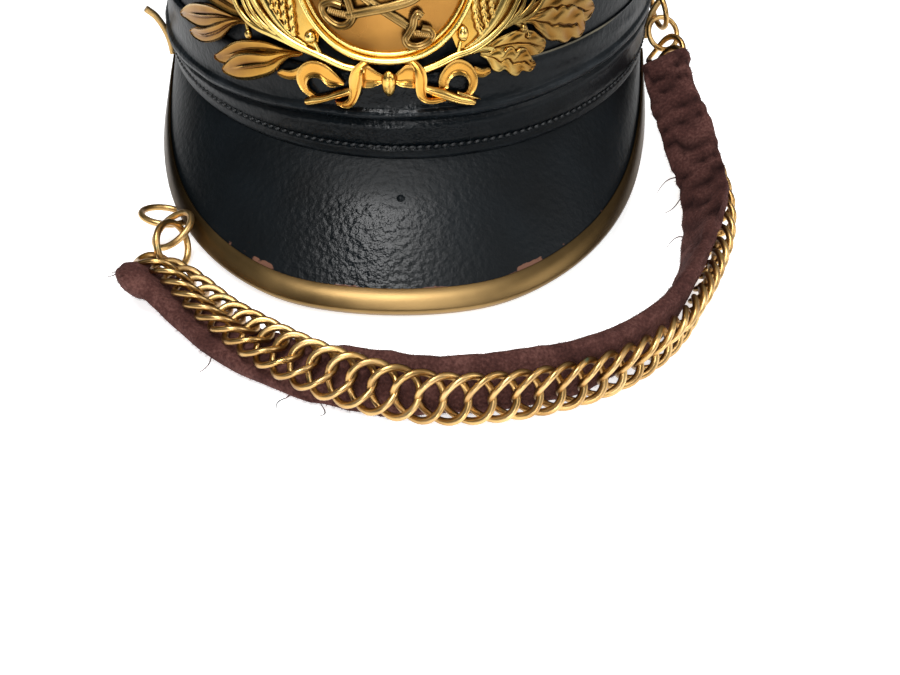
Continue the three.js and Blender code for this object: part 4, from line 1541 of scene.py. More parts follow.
# Berries and acorns: foot of the stalk, middle, half width and half height
BERRIES: list[tuple[Flat, Flat, float, float]] = [
    ((-21.4, 32.6), (-24.4, 37.6), 1.9, 1.9),
    ((-47.6, 37.2), (-46.6, 34.4), 1.2, 1.4),
    ((20, 34), (21.4, 39.6), 1.7, 2.4),
    ((37.6, 40.8), (40.8, 38.7), 1.3, 1.3),
    ((41, 40.4), (42.6, 36.2), 0.9, 1.1),
]


class Sabre(NamedTuple):
    """One sabre on the oval: its blade, grip and guard, and how far its blade lies over the other's."""

    over: float
    blade: list[Flat]
    grip: list[Flat]
    guard: list[Flat]


SABRES = [
    Sabre(
        0.9,
        [(-12, 45.6), (-6, 47), (1, 48.5), (8, 51), (14, 58), (17, 66), (18.5, 75)],
        [(-17.4, 46.4), (-15, 45.9), (-11.8, 45.5)],
        [(-13.2, 48.2), (-16.6, 48.6), (-19.3, 47.2), (-18.9, 45), (-17.2, 43.4), (-14.6, 42.4),
         (-11.9, 43.1), (-10.3, 45.3), (-10.7, 47.4), (-11.5, 50)],
    ),
    Sabre(
        0,
        [(6, 42.4), (3, 44.4), (-0.5, 46.6), (-5, 49.2), (-10.5, 53.2), (-16, 59.5), (-19, 67),
         (-20.5, 75)],
        [(11.4, 40.2), (9.2, 40.7), (6.6, 41.2)],
        [(9, 45.6), (8, 46.5), (7, 45.6), (6.5, 43.3), (5.4, 41.3), (4.4, 39.5), (5.1, 38), (7.5, 37.3),
         (10.4, 38.2), (12, 40.1), (11.2, 41.7), (9, 42.4)],
    ),
]


@dataclass
class WreathPlate:
    """The gilt plate: oval rim, laurel and oak branches, bow and curls, and the field with its sabres."""

    gilt: Material
    bronze: Material
    grey_brass: Material
    oval_u: float = -2.0
    oval_v: float = 65.8
    oval_half_width: float = 28.0
    oval_half_height: float = 32.5
    oval_power: float = 2.2
    rim_half: float = 1.75
    rim_base: float = 0.8
    rim_height: float = 2.7
    boss_inset: float = 1.5
    boss_bulge: float = 4.6
    boss_edge: float = 1.4
    boss_foot: float = 33.0
    stem_half: float = 1.15
    stalk_half: float = 0.62
    strand_twists: float = 6.0
    sheet: float = 0.8
    sheet_from: float = 228.0
    sheet_to: float = 128.0
    edge_roll: float = 0.14
    top_share: float = 0.86

    def build(self) -> None:
        """Build and dress the plate, the field and the sabres."""
        dress(self.plate(), self.gilt, Slot.GILT, "wreath_plate")
        dress(self.boss(), self.bronze, Slot.BRONZE, "oval_boss")
        dress(self.sabres(), self.grey_brass, Slot.GREY_BRASS, "crossed_sabres")

    def plate(self) -> Piece:
        """Model all the gilt pieces flat, and lay them on the helmet as one.

        Returns:
            The new piece.
        """
        left, right = FlatLine(LEFT_STEM), FlatLine(RIGHT_STEM)
        pieces = [self.rim(), self.knot()]
        pieces += [self.stem("stem", line, self.stem_half) for line in (left, right)]
        pieces += [self.stem("twig", FlatLine(points), half, 40) for points, half in TWIGS]
        pieces.append(self.side_sheet(left, start=0.155, hand=-1.0))
        pieces.append(self.side_sheet(right, start=0.145, hand=1.0))
        pieces += [self.strand(FlatLine(points)) for points in STRANDS]
        pieces += [self.stamped(row) for row in STAMPINGS]
        pieces += [self.stamped(row, 26, 28) for row in PLAIN_LEAVES]
        for foot, middle, half, high in BERRIES:
            bend = ((foot[0] + middle[0]) / 2.0, (foot[1] + middle[1]) / 2.0 + 0.2)
            pieces.append(self.stem("stalk", FlatLine([foot, bend, middle]), self.stalk_half, 16))
            pieces.append(self.berry(Vector((*middle, 0.0)), half, high))
        return shade(join("gilt_wreath_plate", pieces), 60.0)

    @staticmethod
    def dullness(flat: Vector) -> float:
        """Return how much darker the gilding is made: most on the outer leaves."""
        return 0.75 * smooth(-flat.x, 14.0, 60.0) + smooth(flat.x, 12.0, 46.0)

    def laid(
        self,
        name: str,
        sides: int,
        steps: int,
        place: Place,
        tone: Callable[..., float],
        warmth: float = 0.0,
    ) -> Piece:
        """Model a bar on the flat plate and lay it on the helmet.

        Args:
            name: the piece's name.
            sides: corners of its section.
            steps: lengths that it is cut into.
            place: flat point from the share along and the place in a unit circle.
            tone: painted light by relief, from 0 as painted shade in a hollow to 1 as a painted highlight on
                a ridge.
            warmth: how coppery its gilding is.

        Returns:
            The new piece, marked for its finish.
        """
        marks = {
            Mark.RAISED: tone,
            Mark.DULLED: lambda *at: self.dullness(place(*at)),
            Mark.WARMED: lambda *at: warmth,
        }
        return long_tube(name, sides, steps, lambda *at: FORM.on_plate(place(*at)), marks)

    def stem(self, name: str, line: FlatLine, half: float, steps: int = 90) -> Piece:
        """Model a stem with a groove along its back.

        Args:
            name: the piece's name.
            line: the line that it follows.
            half: half its width.
            steps: lengths that it is cut into.

        Returns:
            The new piece.
        """
        def ridge(x: float) -> float:
            """Return the share of the height that the groove leaves."""
            return 1.0 - 0.3 * bell(x, -0.1, 0.22)

        def place(along: float, x: float, y: float) -> Vector:
            """Place a point of the stem."""
            point = line.beside(along, half * x)
            point.z = 1.0 + (1.25 * half * y * ridge(x) if y > 0.0 else y)
            return point

        # Painted highlight on the stem's top, painted shade in its groove and underneath
        return self.laid(name, 18, steps, place, lambda along, x, y: 0.25 + 0.6 * clamp(y) * ridge(x))

    def oval(self, turn: float, share: float) -> Vector:
        """Find a flat point of the oval.

        Args:
            turn: the angle from its right side.
            share: the share of its size.

        Returns:
            The point.
        """
        across = signed_power(math.cos(turn), 2.0 / self.oval_power)
        up = signed_power(math.sin(turn), 2.0 / self.oval_power)
        return Vector((
            self.oval_u + self.oval_half_width * share * across,
            self.oval_v + self.oval_half_height * share * up,
            0.0,
        ))

    def rim(self) -> Piece:
        """Model the oval's rim with its two beads.

        Returns:
            The new piece.
        """
        def bead(bend: float) -> float:
            """Return the height of the wide bead or the narrow one."""
            aside = math.cos(bend)
            return max(arch((aside - 0.42) / 0.58), 0.8 * arch((aside + 0.6) / 0.4))

        def place(turn: float, bend: float) -> Vector:
            """Place a point of the rim by its two angles."""
            flat = self.oval(turn, 1.0 + self.rim_half * math.cos(bend) / self.oval_half_width)
            top = self.rim_base + (self.rim_height - self.rim_base) * bead(bend)
            flat.z = top if math.sin(bend) > 0.01 else 0.0
            return FORM.on_plate(flat)

        # Painted highlight on the beads, painted shade between and beside them
        marks = {Mark.RAISED: lambda turn, bend: 0.15 + 0.7 * bead(bend)}
        return closed_ring("rim", 160, 44, place, marks)

    def height_across(self, row: Stamping, along: float, x: float) -> float:
        """Work out a stamped shape's height.

        Args:
            row: the stamped shape.
            along: the share from its base to its tip.
            x: the place from its first edge at -1 to its second at 1.

        Returns:
            The share of its rise, from 0 to about 1.
        """
        out = abs(x)
        roll = arch(max(0.0, out - 1.0 + self.edge_roll) / self.edge_roll)
        if row.relief is Relief.TWIG:
            return arch(x) * (1.0 - 0.16 * bell(x, 0.2, 0.12))
        if row.relief is Relief.BLADE:
            return roll * (0.75 + 0.25 * (1.0 - x * x) - 0.2 * bell(x, -0.55, 0.12))
        if row.relief is Relief.RIBBON:
            return roll * (0.6 + 0.36 * out ** 3 - 0.14 * bell(x, 0.4, 0.08))
        if row.relief is Relief.OAK:
            vein = math.cos(FULL_TURN * row.lobes * (along - 0.14 * out))
            midrib = bell(x, 0.05, 0.06) * (1.0 - smooth(along, 0.75, 0.95))
            lobe = 0.16 * vein * smooth(out, 0.05, 0.6)
            return roll * (0.74 + lobe - 0.3 * midrib + 0.1 * smooth(out, 0.6, 0.86))
        rib_length = smooth(along, 0.04, 0.12) * (1.0 - smooth(along, 0.6, 0.88))
        beside = abs(x + 0.05)
        rib = 0.3 * bell(beside, 0.0, 0.07) - 0.13 * bell(beside, 0.16, 0.06)
        lip = 0.3 * bell(out, 0.84, 0.07)
        return roll * (0.5 + 0.28 * out ** 2 + lip + rib * rib_length)

    def stamped(self, row: Stamping, sides: int = 44, steps: int = 48) -> Piece:
        """Model one stamped shape between its two edges, most of its sides on its face.

        Args:
            row: the shape.
            sides: corners of its section.
            steps: lengths that it is cut into.

        Returns:
            The new piece.
        """
        first, second = FlatLine(row.first), FlatLine(row.second)
        warmth = {Relief.RIBBON: 0.5, Relief.TWIG: 0.5, Relief.BLADE: 0.1}.get(row.relief, 0.25)

        def unrolled(x: float, y: float) -> tuple[float, bool]:
            """Return a corner's place across, and whether it is on the face."""
            turn = (math.atan2(y, x) % FULL_TURN) / FULL_TURN
            if math.hypot(x, y) < 0.5:
                return 0.0, True
            if turn <= self.top_share:
                return 1.0 - 2.0 * turn / self.top_share, True
            return 2.0 * (turn - self.top_share) / (1.0 - self.top_share) - 1.0, False

        def place(along: float, x: float, y: float) -> Vector:
            """Place a point of the shape."""
            across, is_top = unrolled(x, y)
            point = first.at(along).lerp(second.at(along), (across + 1.0) / 2.0)
            ends = 0.7 + 0.3 * math.sqrt(math.sin(math.pi * clamp(along, 0.002, 0.998)))
            lifted = row.level * (0.6 + 0.4 * math.sin(math.pi * clamp(along)))
            point.z = lifted + row.rise * ends * self.height_across(row, along, across) if is_top else 0.0
            return point

        def tone(along: float, x: float, y: float) -> float:
            """Return the painted relief light: a painted highlight on the face, painted shade on the sides.
            """
            across, is_top = unrolled(x, y)
            return clamp(1.4 * self.height_across(row, along, across) - 0.42) if is_top else 0.1

        return self.laid(row.relief.value, sides, steps, place, tone, warmth)

    def strand(self, line: FlatLine) -> Piece:
        """Model a twisted strand that lies on the side sheet.

        Args:
            line: the line that it follows.

        Returns:
            The new piece.
        """
        def bulge(along: float, x: float, y: float) -> float:
            """Return how far the twist swells the strand."""
            return 1.0 + 0.15 * math.cos(2.0 * math.atan2(y, x) + FULL_TURN * self.strand_twists * along)

        def place(along: float, x: float, y: float) -> Vector:
            """Place a point of the strand."""
            point = line.beside(along, x * bulge(along, x, y))
            point.z = max(0.1, 1.3 + 0.95 * y * bulge(along, x, y))
            return point

        # Painted highlight on the strand's top and the swells of its twist, painted shade underneath
        return self.laid("strand", 14, 90, place, lambda *at: 0.2 + 0.5 * clamp(at[2]) * bulge(*at), 0.2)

    def side_sheet(self, line: FlatLine, start: float, hand: float) -> Piece:
        """Model the plain sheet between the oval and a stem.

        Args:
            line: the stem's line.
            start: share of the stem where it starts.
            hand: minus one on the left, one on the right.

        Returns:
            The new piece.
        """
        def place(along: float, x: float, y: float) -> Vector:
            """Place a point of the sheet."""
            swing = math.radians(mix(self.sheet_from, self.sheet_to, along))
            inner = self.oval(swing if hand < 0.0 else math.pi - swing, 1.0)
            outer = line.at(mix(start, 0.97, along))
            point = inner.lerp(outer, (x + 1.0) / 2.0)
            point.z = self.sheet if y > -0.01 else 0.0
            return point

        return self.laid("side_sheet", 24, 60, place, lambda *at: 0.5)

    def knot(self) -> Piece:
        """Model the ribbon's knot as a grooved bean.

        Returns:
            The new piece.
        """
        def groove(x: float) -> float:
            """Return the share of the height that the two grooves leave."""
            return 1.0 - 0.22 * bell(x, 0.15, 0.14) - 0.1 * bell(x, -0.5, 0.12)

        def place(along: float, x: float, y: float) -> Vector:
            """Place a point of the knot."""
            swell = arch(along * 2.0 - 1.0, 0.02) * mix(1.08, 0.85, along)
            return Vector((
                -0.85 + 2.3 * x * swell,
                mix(29.9, 22.2, along),
                2.0 + 1.9 * y * swell * groove(x),
            ))

        # Painted highlight on the knot's top, painted shade in its grooves and underneath
        return self.laid("knot", 40, 24, place, lambda along, x, y: 0.7 * clamp(y) * groove(x), 0.3)

    def berry(self, middle: Vector, half: float, high: float) -> Piece:
        """Model one berry or acorn.

        Args:
            middle: its flat place.
            half: half its width.
            high: half its height.

        Returns:
            The new piece.
        """
        def place(along: float, x: float, y: float) -> Vector:
            """Place a point of the berry."""
            turn = (along - 0.5) * math.pi
            swell = max(0.03, math.cos(turn))
            return middle + Vector((half * x * swell, high * math.sin(turn), 1.5 + half * y * swell))

        # Painted highlight on the berry's top, painted shade underneath
        return self.laid("berry", 20, 16, place, lambda along, x, y: 0.45 + 0.4 * clamp(y), 0.3)

    @property
    def boss_share(self) -> float:
        """The share of the oval's size that the domed field has."""
        return 1.0 - self.boss_inset / self.oval_half_width

    def boss_height(self, flat: Vector) -> float:
        """Work out how high the domed field stands.

        Args:
            flat: the place on the flat plate.

        Returns:
            The height in millimetres.
        """
        across = abs(flat.x - self.oval_u) / (self.oval_half_width * self.boss_share)
        up = abs(flat.y - self.oval_v) / (self.oval_half_height * self.boss_share)
        left = max(0.0, 1.0 - across ** self.oval_power - up ** self.oval_power)
        return self.boss_edge + self.boss_bulge * left

    def boss(self) -> Piece:
        """Model the domed field from a square sheet drawn into the oval.

        Returns:
            The new piece.
        """
        def place(along: float, across: float) -> Vector:
            """Place a point of the field by its shares of the square."""
            x, y = along * 2.0 - 1.0, across * 2.0 - 1.0
            round_x, round_y = x * math.sqrt(1.0 - y * y / 2.0), y * math.sqrt(1.0 - x * x / 2.0)
            flat = self.oval(math.atan2(round_y, round_x), self.boss_share * math.hypot(round_x, round_y))
            flat.z = self.boss_height(flat)
            return FORM.on_plate(flat)

        piece = sheet_of("bronze_oval_field", 64, 64, place)
        mark(piece, Mark.RAISED, lambda p: 0.5)
        # Painted shade on the dome's left, at its edge and at its foot
        mark(piece, Mark.DULLED, self.field_shade)
        thicken(piece, 1.0, -1.0)
        return shade(piece, 50.0)

    def field_shade(self, point: Vector) -> float:
        """Work out the painted shade on the bronze dome: most on the left, at the edge and at the foot.

        Args:
            point: the helmet point.

        Returns:
            A share of 0 to 1.
        """
        across = (FORM.turn_of(point) * FORM.plate_per_radian - self.oval_u) / self.oval_half_width
        over_foot = point.z - FORM.seam - self.boss_foot
        left = 0.9 * smooth(-across, -0.1, 0.8)
        right = 0.5 * smooth(across, 0.6, 1.0)
        foot = 0.5 * (1.0 - smooth(over_foot, 0.0, 8.0))
        return clamp(left + right + foot)

    def sabres(self) -> Piece:
        """Model the two crossed sabres, each with blade, grip and guard.

        Returns:
            Both as one piece.
        """
        pieces = []
        for row in SABRES:
            pieces.append(self.sabre_bar(row.blade, half=1.25, high=0.55, over=row.over, taper=0.7))
            pieces.append(self.sabre_bar(row.grip, half=1.1, high=0.8, over=0.2, ribs=9.0))
            pieces.append(self.sabre_bar(row.guard, half=1.2, high=0.75, over=0.6))
        return shade(join("grey_brass_sabres", pieces), 60.0)

    def sabre_bar(
        self, points: list[Flat], half: float, high: float, over: float, taper: float = 0.0, ribs: float = 0.0
    ) -> Piece:
        """Model one bar of a sabre that lies on the domed field.

        Args:
            points: places that it passes.
            half: half its width.
            high: half its height.
            over: how far it is lifted over the field.
            taper: share of its width that it loses towards its end.
            ribs: number of turns of wire round it, or 0 for grooves along it.

        Returns:
            The new piece.
        """
        line = FlatLine(points)

        def crown(along: float, x: float) -> float:
            """Return the share of the height that wire or grooves leave."""
            if ribs:
                return 1.0 + 0.25 * math.cos(FULL_TURN * ribs * (along + 0.03 * x))
            return 0.72 + 0.28 * math.cos(1.5 * FULL_TURN * x)

        def place(along: float, x: float, y: float) -> Vector:
            """Place a point of the bar."""
            wide = half * (1.0 - taper * along ** 3)
            point = line.beside(along, wide * x)
            lift = 0.3 + over + high * (1.0 + y * (crown(along, x) if y > 0.0 else 1.0))
            point.z = self.boss_height(point) + lift
            return point

        def tone(along: float, x: float, y: float) -> float:
            """Return the painted relief light: a painted highlight on the bar's top, painted shade in its
            grooves and on its sides.
            """
            return 0.05 + 0.65 * clamp(1.3 * y) * crown(along, x) ** 1.5

        return self.laid("sabre", 16, 72, place, tone)


# The chin strap


class StrapRow(NamedTuple):
    """A row of the strap's line: place on the table, rise over it, roll, and the velvet's shift off it."""

    x: float
    y: float
    rise: float
    turn: float
    shift: float


STRAP_ROWS = [
    StrapRow(-77.7, -135.5, 0, -45, -2.5),
    StrapRow(-67.2, -141.3, 0, -35, -2.3),
    StrapRow(-46.5, -160.2, 0, -14.5, -1.3),
    StrapRow(-14, -181.4, 0, 32.5, 0.6),
    StrapRow(18.2, -189.3, 0, 74, 0.9),
    StrapRow(57, -179.7, 0, 85.5, 0.7),
    StrapRow(81.3, -160.2, 0.3, 98, 0.2),
    StrapRow(98.7, -127.3, 0.9, 108.5, -0.2),
    StrapRow(103.7, -103.7, 6.3, 133.5, 0.8),
    StrapRow(101.5, -81.4, 13.5, 144, 0.4),
    StrapRow(96.8, -57.6, 21.8, 147.5, 1),
    StrapRow(96.2, -28.5, 30.7, 148.5, 1),
]


class StrapFrame(NamedTuple):
    """Point and directions of the strap at a distance from its free end."""

    point: Vector
    along: Vector
    across: Vector
    face: Vector
    shift: float


class StrapLine:
    """The line where chain and velvet meet, on the table and up to the hook."""

    count = 1200

    def __init__(self, half: float, thick: float, wire_out: float, chain_rise: float) -> None:
        """Lay the line so that a strap of these sizes just clears the table.

        Args:
            half: half the velvet's width.
            thick: the velvet's thickness.
            wire_out: a link's outer radius.
            chain_rise: height of the chain's middle over the velvet.
        """
        self.points = []
        for row in STRAP_ROWS:
            sine, cosine = math.sin(math.radians(row.turn)), math.cos(math.radians(row.turn))
            below = math.hypot(half * sine, thick / 2.0 * cosine) + thick / 2.0 * cosine
            beside = math.hypot(wire_out * sine, chain_rise * cosine) - chain_rise * cosine
            self.points.append(Vector((row.x, row.y, row.rise + max(below, beside))))
        self.table = [(0.0, 0.0)]
        before = self.points[0]
        for number in range(1, self.count + 1):
            point = smooth_line(self.points, number / self.count)
            self.table.append((self.table[-1][0] + (point - before).length, number / self.count))
            before = point
        self.length = self.table[-1][0]

    def frame(self, distance: float) -> StrapFrame:
        """Find the strap's point and directions.

        Args:
            distance: the distance from its free end.

        Returns:
            The point, the directions and the velvet's shift.
        """
        share = along_table(self.table, distance)
        place = share * (len(STRAP_ROWS) - 1)
        row = min(len(STRAP_ROWS) - 2, max(0, int(place)))
        before, after = STRAP_ROWS[row], STRAP_ROWS[row + 1]
        turn = math.radians(mix(before.turn, after.turn, place - row))
        step = 1e-4
        ahead = smooth_line(self.points, share + step) - smooth_line(self.points, share - step)
        along = ahead.normalized()
        away = Vector((along.y, -along.x, 0.0)).normalized()
        face = away.cross(along) * math.cos(turn) + away * math.sin(turn)
        shift = mix(before.shift, after.shift, place - row)
        return StrapFrame(smooth_line(self.points, share), along, face.cross(along), face, shift)


class Ring(NamedTuple):
    """A wire ring: its node, middle, direction, radius and wire."""

    node: str
    at: Spot
    facing: Spot
    radius: float
    wire: float


RINGS = [
    Ring("left_ring_1", (-78.7, -104.7, 6.9), (0.2, 0.24, 0.95), 7.4, 1.1),
    Ring("left_ring_2", (-73, -115.1, 8.4), (-0.48, -0.15, 0.87), 7.4, 1.1),
    Ring("left_ring_3", (-70.7, -124.5, 9), (0.91, -0.23, 0.33), 7.4, 1.1),
    Ring("right_ring_1", (97.4, -22.4, 38.8), (0.33, -0.68, 0.66), 6.2, 0.95),
    Ring("right_ring_2", (95.4, -18, 46), (0.94, 0.25, 0.24), 6.6, 1),
]


class LooseThread(NamedTuple):
    """A thread that has come out of the velvet: where along, where round it, its length and its bend."""

    distance: float
    turn: float
    length: float
    bend: float


LOOSE_THREADS = [
    LooseThread(2, 200, 5, 1.5),
    LooseThread(9, 170, 6, -2),
    LooseThread(24, 30, 5, 2.5),
    LooseThread(38, 24, 6, -2.5),
    LooseThread(47, 188, 6, 2),
    LooseThread(72, 190, 7, -2),
    LooseThread(80, 184, 5, 3),
    LooseThread(236, 186, 7, 2.5),
    LooseThread(252, 200, 6, -2),
    LooseThread(262, 178, 8, 2),
]


class HookRow(NamedTuple):
    """A hook: its node, its plan angle in degrees, and how far it sits over its even place."""

    node: str
    degrees: float
    raised: float


HOOKS = [HookRow("left_hook", -71.0, -3.5), HookRow("right_hook", 81.0, -2.2)]


@dataclass
class ChinStrap:
    """The velvet strap with its curb chain, the rings at both ends and the two hooks."""

    velvet: Material
    brass: Material
    old_brass: Material
    half: float = 8.6
    thick: float = 6.2
    end_inset: float = 10.5
    free_end: float = 3.0
    free_round: float = 9.0
    far_round: float = 2.5
    bulb_at: float = 4.0
    bulb_width: float = 7.0
    squareness: float = 0.62
    folds_from: float = 190.0
    folds_full: float = 225.0
    fold_pitch: float = 9.0
    table_gap: float = 0.05
    pile_gap: float = 0.03
    pile_seed: int = 11
    fibres: int = 5000
    fibre_length: float = 0.9
    fibre_radius: float = 0.08
    fibre_root: float = 0.2
    thread_radius: float = 0.26
    link_radius: float = 6.7
    link_wire: float = 1.05
    link_rise: float = 2.8
    link_twist: float = 64.0
    first_link: float = 6.0
    last_link: float = 3.0
    links: int = 52
    hook_half: float = 2.0
    hook_tip_half: float = 1.2
    hook_thick: float = 2.2
    # Line of a hook: out from the dome, up from the seam.
    hook_path: Table = field(default_factory=lambda: [
        (2.9, 2.5), (3.1, 7.0), (4.2, 11.8), (6.5, 16.5), (9.4, 19.3),
    ])

    def build(self) -> None:
        """Build and dress the strap, the chain, the rings and the hooks."""
        strap = join("velvet_strap", [self.pad(), self.pile(), *(self.thread(row) for row in LOOSE_THREADS)])
        dress(strap, self.velvet, Slot.VELVET, "strap_backing")
        dress(self.chain(), self.brass, Slot.CHAIN_BRASS, "chin_chain")
        for ring in RINGS:
            dress(self.ring(ring), self.brass, Slot.CHAIN_BRASS, ring.node)
        for row in HOOKS:
            dress(self.hook(row), self.old_brass, Slot.OLD_BRASS, row.node)

    @cached_property
    def line(self) -> StrapLine:
        """The line that the strap lies along."""
        return StrapLine(self.half, self.thick, self.link_radius + self.link_wire, self.link_rise)

    @property
    def pad_end(self) -> float:
        """The distance along the line where the velvet ends."""
        return self.line.length - self.end_inset

    def pad_point(self, along: float, x: float, y: float) -> Vector:
        """Find a point of the velvet: a flat pad with a rounded end, folds and swellings.

        Args:
            along: share of the pad's length.
            x: place across in a unit circle.
            y: place through in a unit circle, towards the chain.

        Returns:
            The helmet point.
        """
        distance = mix(-self.free_end, self.pad_end, along)
        here = self.line.frame(distance)
        short = clamp(1.0 - (distance + self.free_end) / self.free_round)
        other = clamp(1.0 - (self.pad_end - distance) / self.far_round)
        rounded = arch(max(short, other), 0.03)
        bulb = bell(distance, self.bulb_at, self.bulb_width)
        crease = noise.noise(Vector((distance / 5.0, x * 1.5, y * 1.5)))
        swell = noise.noise(Vector((distance / 17.0, x, 5.0 + y)))
        fold = self.fold(distance, x)
        power = mix(self.squareness, 1.0, bulb)
        wide = signed_power(x, power) * self.half * rounded * (1.0 + 0.3 * bulb)
        wide += x * (0.9 * crease + 0.7 * swell - 0.9 * fold)
        deep = signed_power(y, power) * rounded * (1.0 + 0.9 * bulb)
        lump = min(0.0, 0.5 * crease - 0.3) if y > 0.3 else 0.4 * crease + 2.0 * fold * clamp(-y)
        point = here.point + here.across * (here.shift + wide)
        point += here.face * ((deep - 1.0) * self.thick / 2.0 + lump)
        return above_table(point, self.table_gap)

    def fold(self, distance: float, x: float) -> float:
        """Work out how deep a cross fold of the velvet is: uneven, and only where it rises to the hook.

        Args:
            distance: the distance from the free end.
            x: place across in a unit circle.

        Returns:
            A share of 0 to 1.
        """
        uneven = noise.noise(Vector((distance / 13.0, x * 0.9, 2.0)))
        wave = abs(math.sin(math.pi * (distance + 1.5 * x + 9.0 * uneven) / self.fold_pitch))
        depth = 0.85 + 0.9 * noise.noise(Vector((distance / 7.0, x * 0.7, 9.0)))
        return smooth(distance, self.folds_from, self.folds_full) * clamp(depth) * (1.0 - wave ** 0.8)

    def fold_shade(self, along: float, x: float, y: float) -> float:
        """Return the painted shade in a fold of the pile, on the side away from the chain."""
        distance = mix(-self.free_end, self.pad_end, along)
        return clamp(1.3 * self.fold(distance, x)) * smooth(-y, -0.4, 0.3)

    def pad(self) -> Piece:
        """Model the velvet pad as a flattened bar."""
        piece = long_tube("pad", 40, 300, self.pad_point, {Mark.DULLED: self.fold_shade})
        return shade(piece, 80.0)

    def standing(self, along: float, turn: float) -> tuple[Vector, Vector]:
        """Find where a fibre or a thread stands on the velvet.

        Args:
            along: share of the pad's length.
            turn: the angle round its section.

        Returns:
            The foot and the direction out.
        """
        x, y = math.cos(turn), math.sin(turn)
        foot = self.pad_point(along, x, y)
        return foot, (self.pad_point(along, 1.1 * x, 1.1 * y) - foot).normalized()

    def pile(self) -> Piece:
        """Model the pile as fine short cones that stand out of the velvet, apart from under the chain.

        Returns:
            The new piece.
        """
        chance = random.Random(self.pile_seed)
        corners: list[Vector] = []
        faces: list[tuple[int, int, int]] = []
        for _ in range(self.fibres):
            along, turn = chance.random(), chance.uniform(math.radians(130.0), math.radians(410.0))
            foot, out = self.standing(along, turn)
            lean = Vector([chance.uniform(-1.0, 1.0) for _ in range(3)])
            tip = foot + (out + lean * 0.6).normalized() * (self.fibre_length * chance.uniform(0.6, 1.3))
            first = out.orthogonal().normalized()
            second = out.cross(first)
            start = len(corners)
            for number in range(3):
                swing = FULL_TURN * number / 3.0
                aside = first * math.cos(swing) + second * math.sin(swing)
                corners.append(foot - out * self.fibre_root + aside * self.fibre_radius)
            corners.append(tip)
            for a, b, c in ((0, 2, 1), (0, 1, 3), (1, 2, 3), (2, 0, 3)):
                faces.append((start + a, start + b, start + c))
        mesh = bpy.data.meshes.new("pile")
        mesh.from_pydata([to_part(above_table(corner, self.pile_gap)) for corner in corners], [], faces)
        piece = bpy.data.objects.new("pile", mesh)
        bpy.context.scene.collection.objects.link(piece)
        return piece

    def thread(self, row: LooseThread) -> Piece:
        """Model one loose thread as a fine bent bar.

        Args:
            row: the thread.

        Returns:
            The new piece.
        """
        foot, out = self.standing(row.distance / self.pad_end, math.radians(row.turn))
        aside = self.line.frame(row.distance).along
        across = out.cross(aside).normalized()

        def place(share: float, x: float, y: float) -> Vector:
            """Place a point of the thread."""
            bow = aside * (row.bend * math.sin(2.6 * share)) - UP * (0.3 * row.length * share * share)
            point = foot + out * (row.length * share - 0.4) + bow
            point += (aside * x + across * y) * (self.thread_radius * (1.0 - 0.6 * share))
            return above_table(point, self.table_gap)

        return long_tube("thread", 5, 10, place)

    def chain(self) -> Piece:
        """Model one twisted link, with painted shade on its side towards the velvet and a painted highlight
        on its outer side, and copy it along the strap.

        Returns:
            The chain as one piece.
        """
        pick()
        bpy.ops.mesh.primitive_torus_add(
            major_segments=36,
            minor_segments=12,
            major_radius=self.link_radius * MM,
            minor_radius=self.link_wire * MM,
        )
        link = named("link")
        twist = math.radians(-self.link_twist)
        finish_with(link, "SIMPLE_DEFORM", deform_method="TWIST", deform_axis="X", angle=twist)
        face_outward(link)
        # Painted shade on the link's side towards the velvet, painted highlight on its outer side
        mark(link, Mark.RAISED, lambda p: 0.2 + 0.45 * smooth(p.z, -3.0, 4.5))
        last = self.line.length - self.last_link
        copies = []
        for number in range(self.links):
            here = self.line.frame(mix(self.first_link, last, number / (self.links - 1)))
            middle = to_part(here.point + here.face * self.link_rise)
            turned = Matrix((here.along, here.across, here.face)).transposed().to_4x4()
            copies.append(copy_of(link, Matrix.Translation(middle) @ turned))
        bpy.data.objects.remove(link)
        piece = shade(join("curb_chain", copies), 80.0)
        mark(piece, Mark.DULLED, self.browning)
        return piece

    @staticmethod
    def browning(point: Vector) -> float:
        """Return how browned the wire is at a place."""
        return clamp(0.15 + 0.8 * noise.noise(point / 7.0))

    def ring(self, row: Ring) -> Piece:
        """Model one ring of wire.

        Args:
            row: the ring.

        Returns:
            The new piece.
        """
        turned = UP.rotation_difference(Vector(row.facing).normalized())

        def place(turn: float, bend: float) -> Vector:
            """Place a point of the ring by its two angles."""
            radius = row.radius + row.wire * math.cos(bend)
            flat = Vector((radius * math.cos(turn), radius * math.sin(turn), row.wire * math.sin(bend)))
            return Vector(row.at) + turned @ flat

        marks = {Mark.RAISED: lambda *at: 0.45}
        piece = shade(closed_ring("wire_" + row.node, 64, 16, place, marks), 80.0)
        mark(piece, Mark.DULLED, self.browning)
        return piece

    def hook(self, row: HookRow) -> Piece:
        """Model a hook as a bent strip with rounded edges.

        Args:
            row: the hook.

        Returns:
            The new piece.
        """
        points = [Vector((out, up, 0.0)) for out, up in self.hook_path]
        turn = math.radians(row.degrees)
        step = 0.01

        def place(along: float, x: float, y: float) -> Vector:
            """Place a point of the hook."""
            spot = smooth_line(points, along)
            before, after = (smooth_line(points, clamp(along + move)) for move in (-step, step))
            ahead = (after - before).normalized()
            wide = signed_power(x, 0.5) * mix(self.hook_half, self.hook_tip_half, along)
            deep = signed_power(y, 0.5) * self.hook_thick / 2.0
            height = FORM.over_seam(turn, row.raised + spot.y - deep * ahead.x)
            point = FORM.skin(turn, height, spot.x + deep * ahead.y)
            return point + UP.cross(FORM.outward(turn)) * wide

        marks = {Mark.RAISED: lambda *at: 0.8}
        return shade(long_tube("brass_" + row.node, 16, 24, place, marks), 50.0)


# The studio


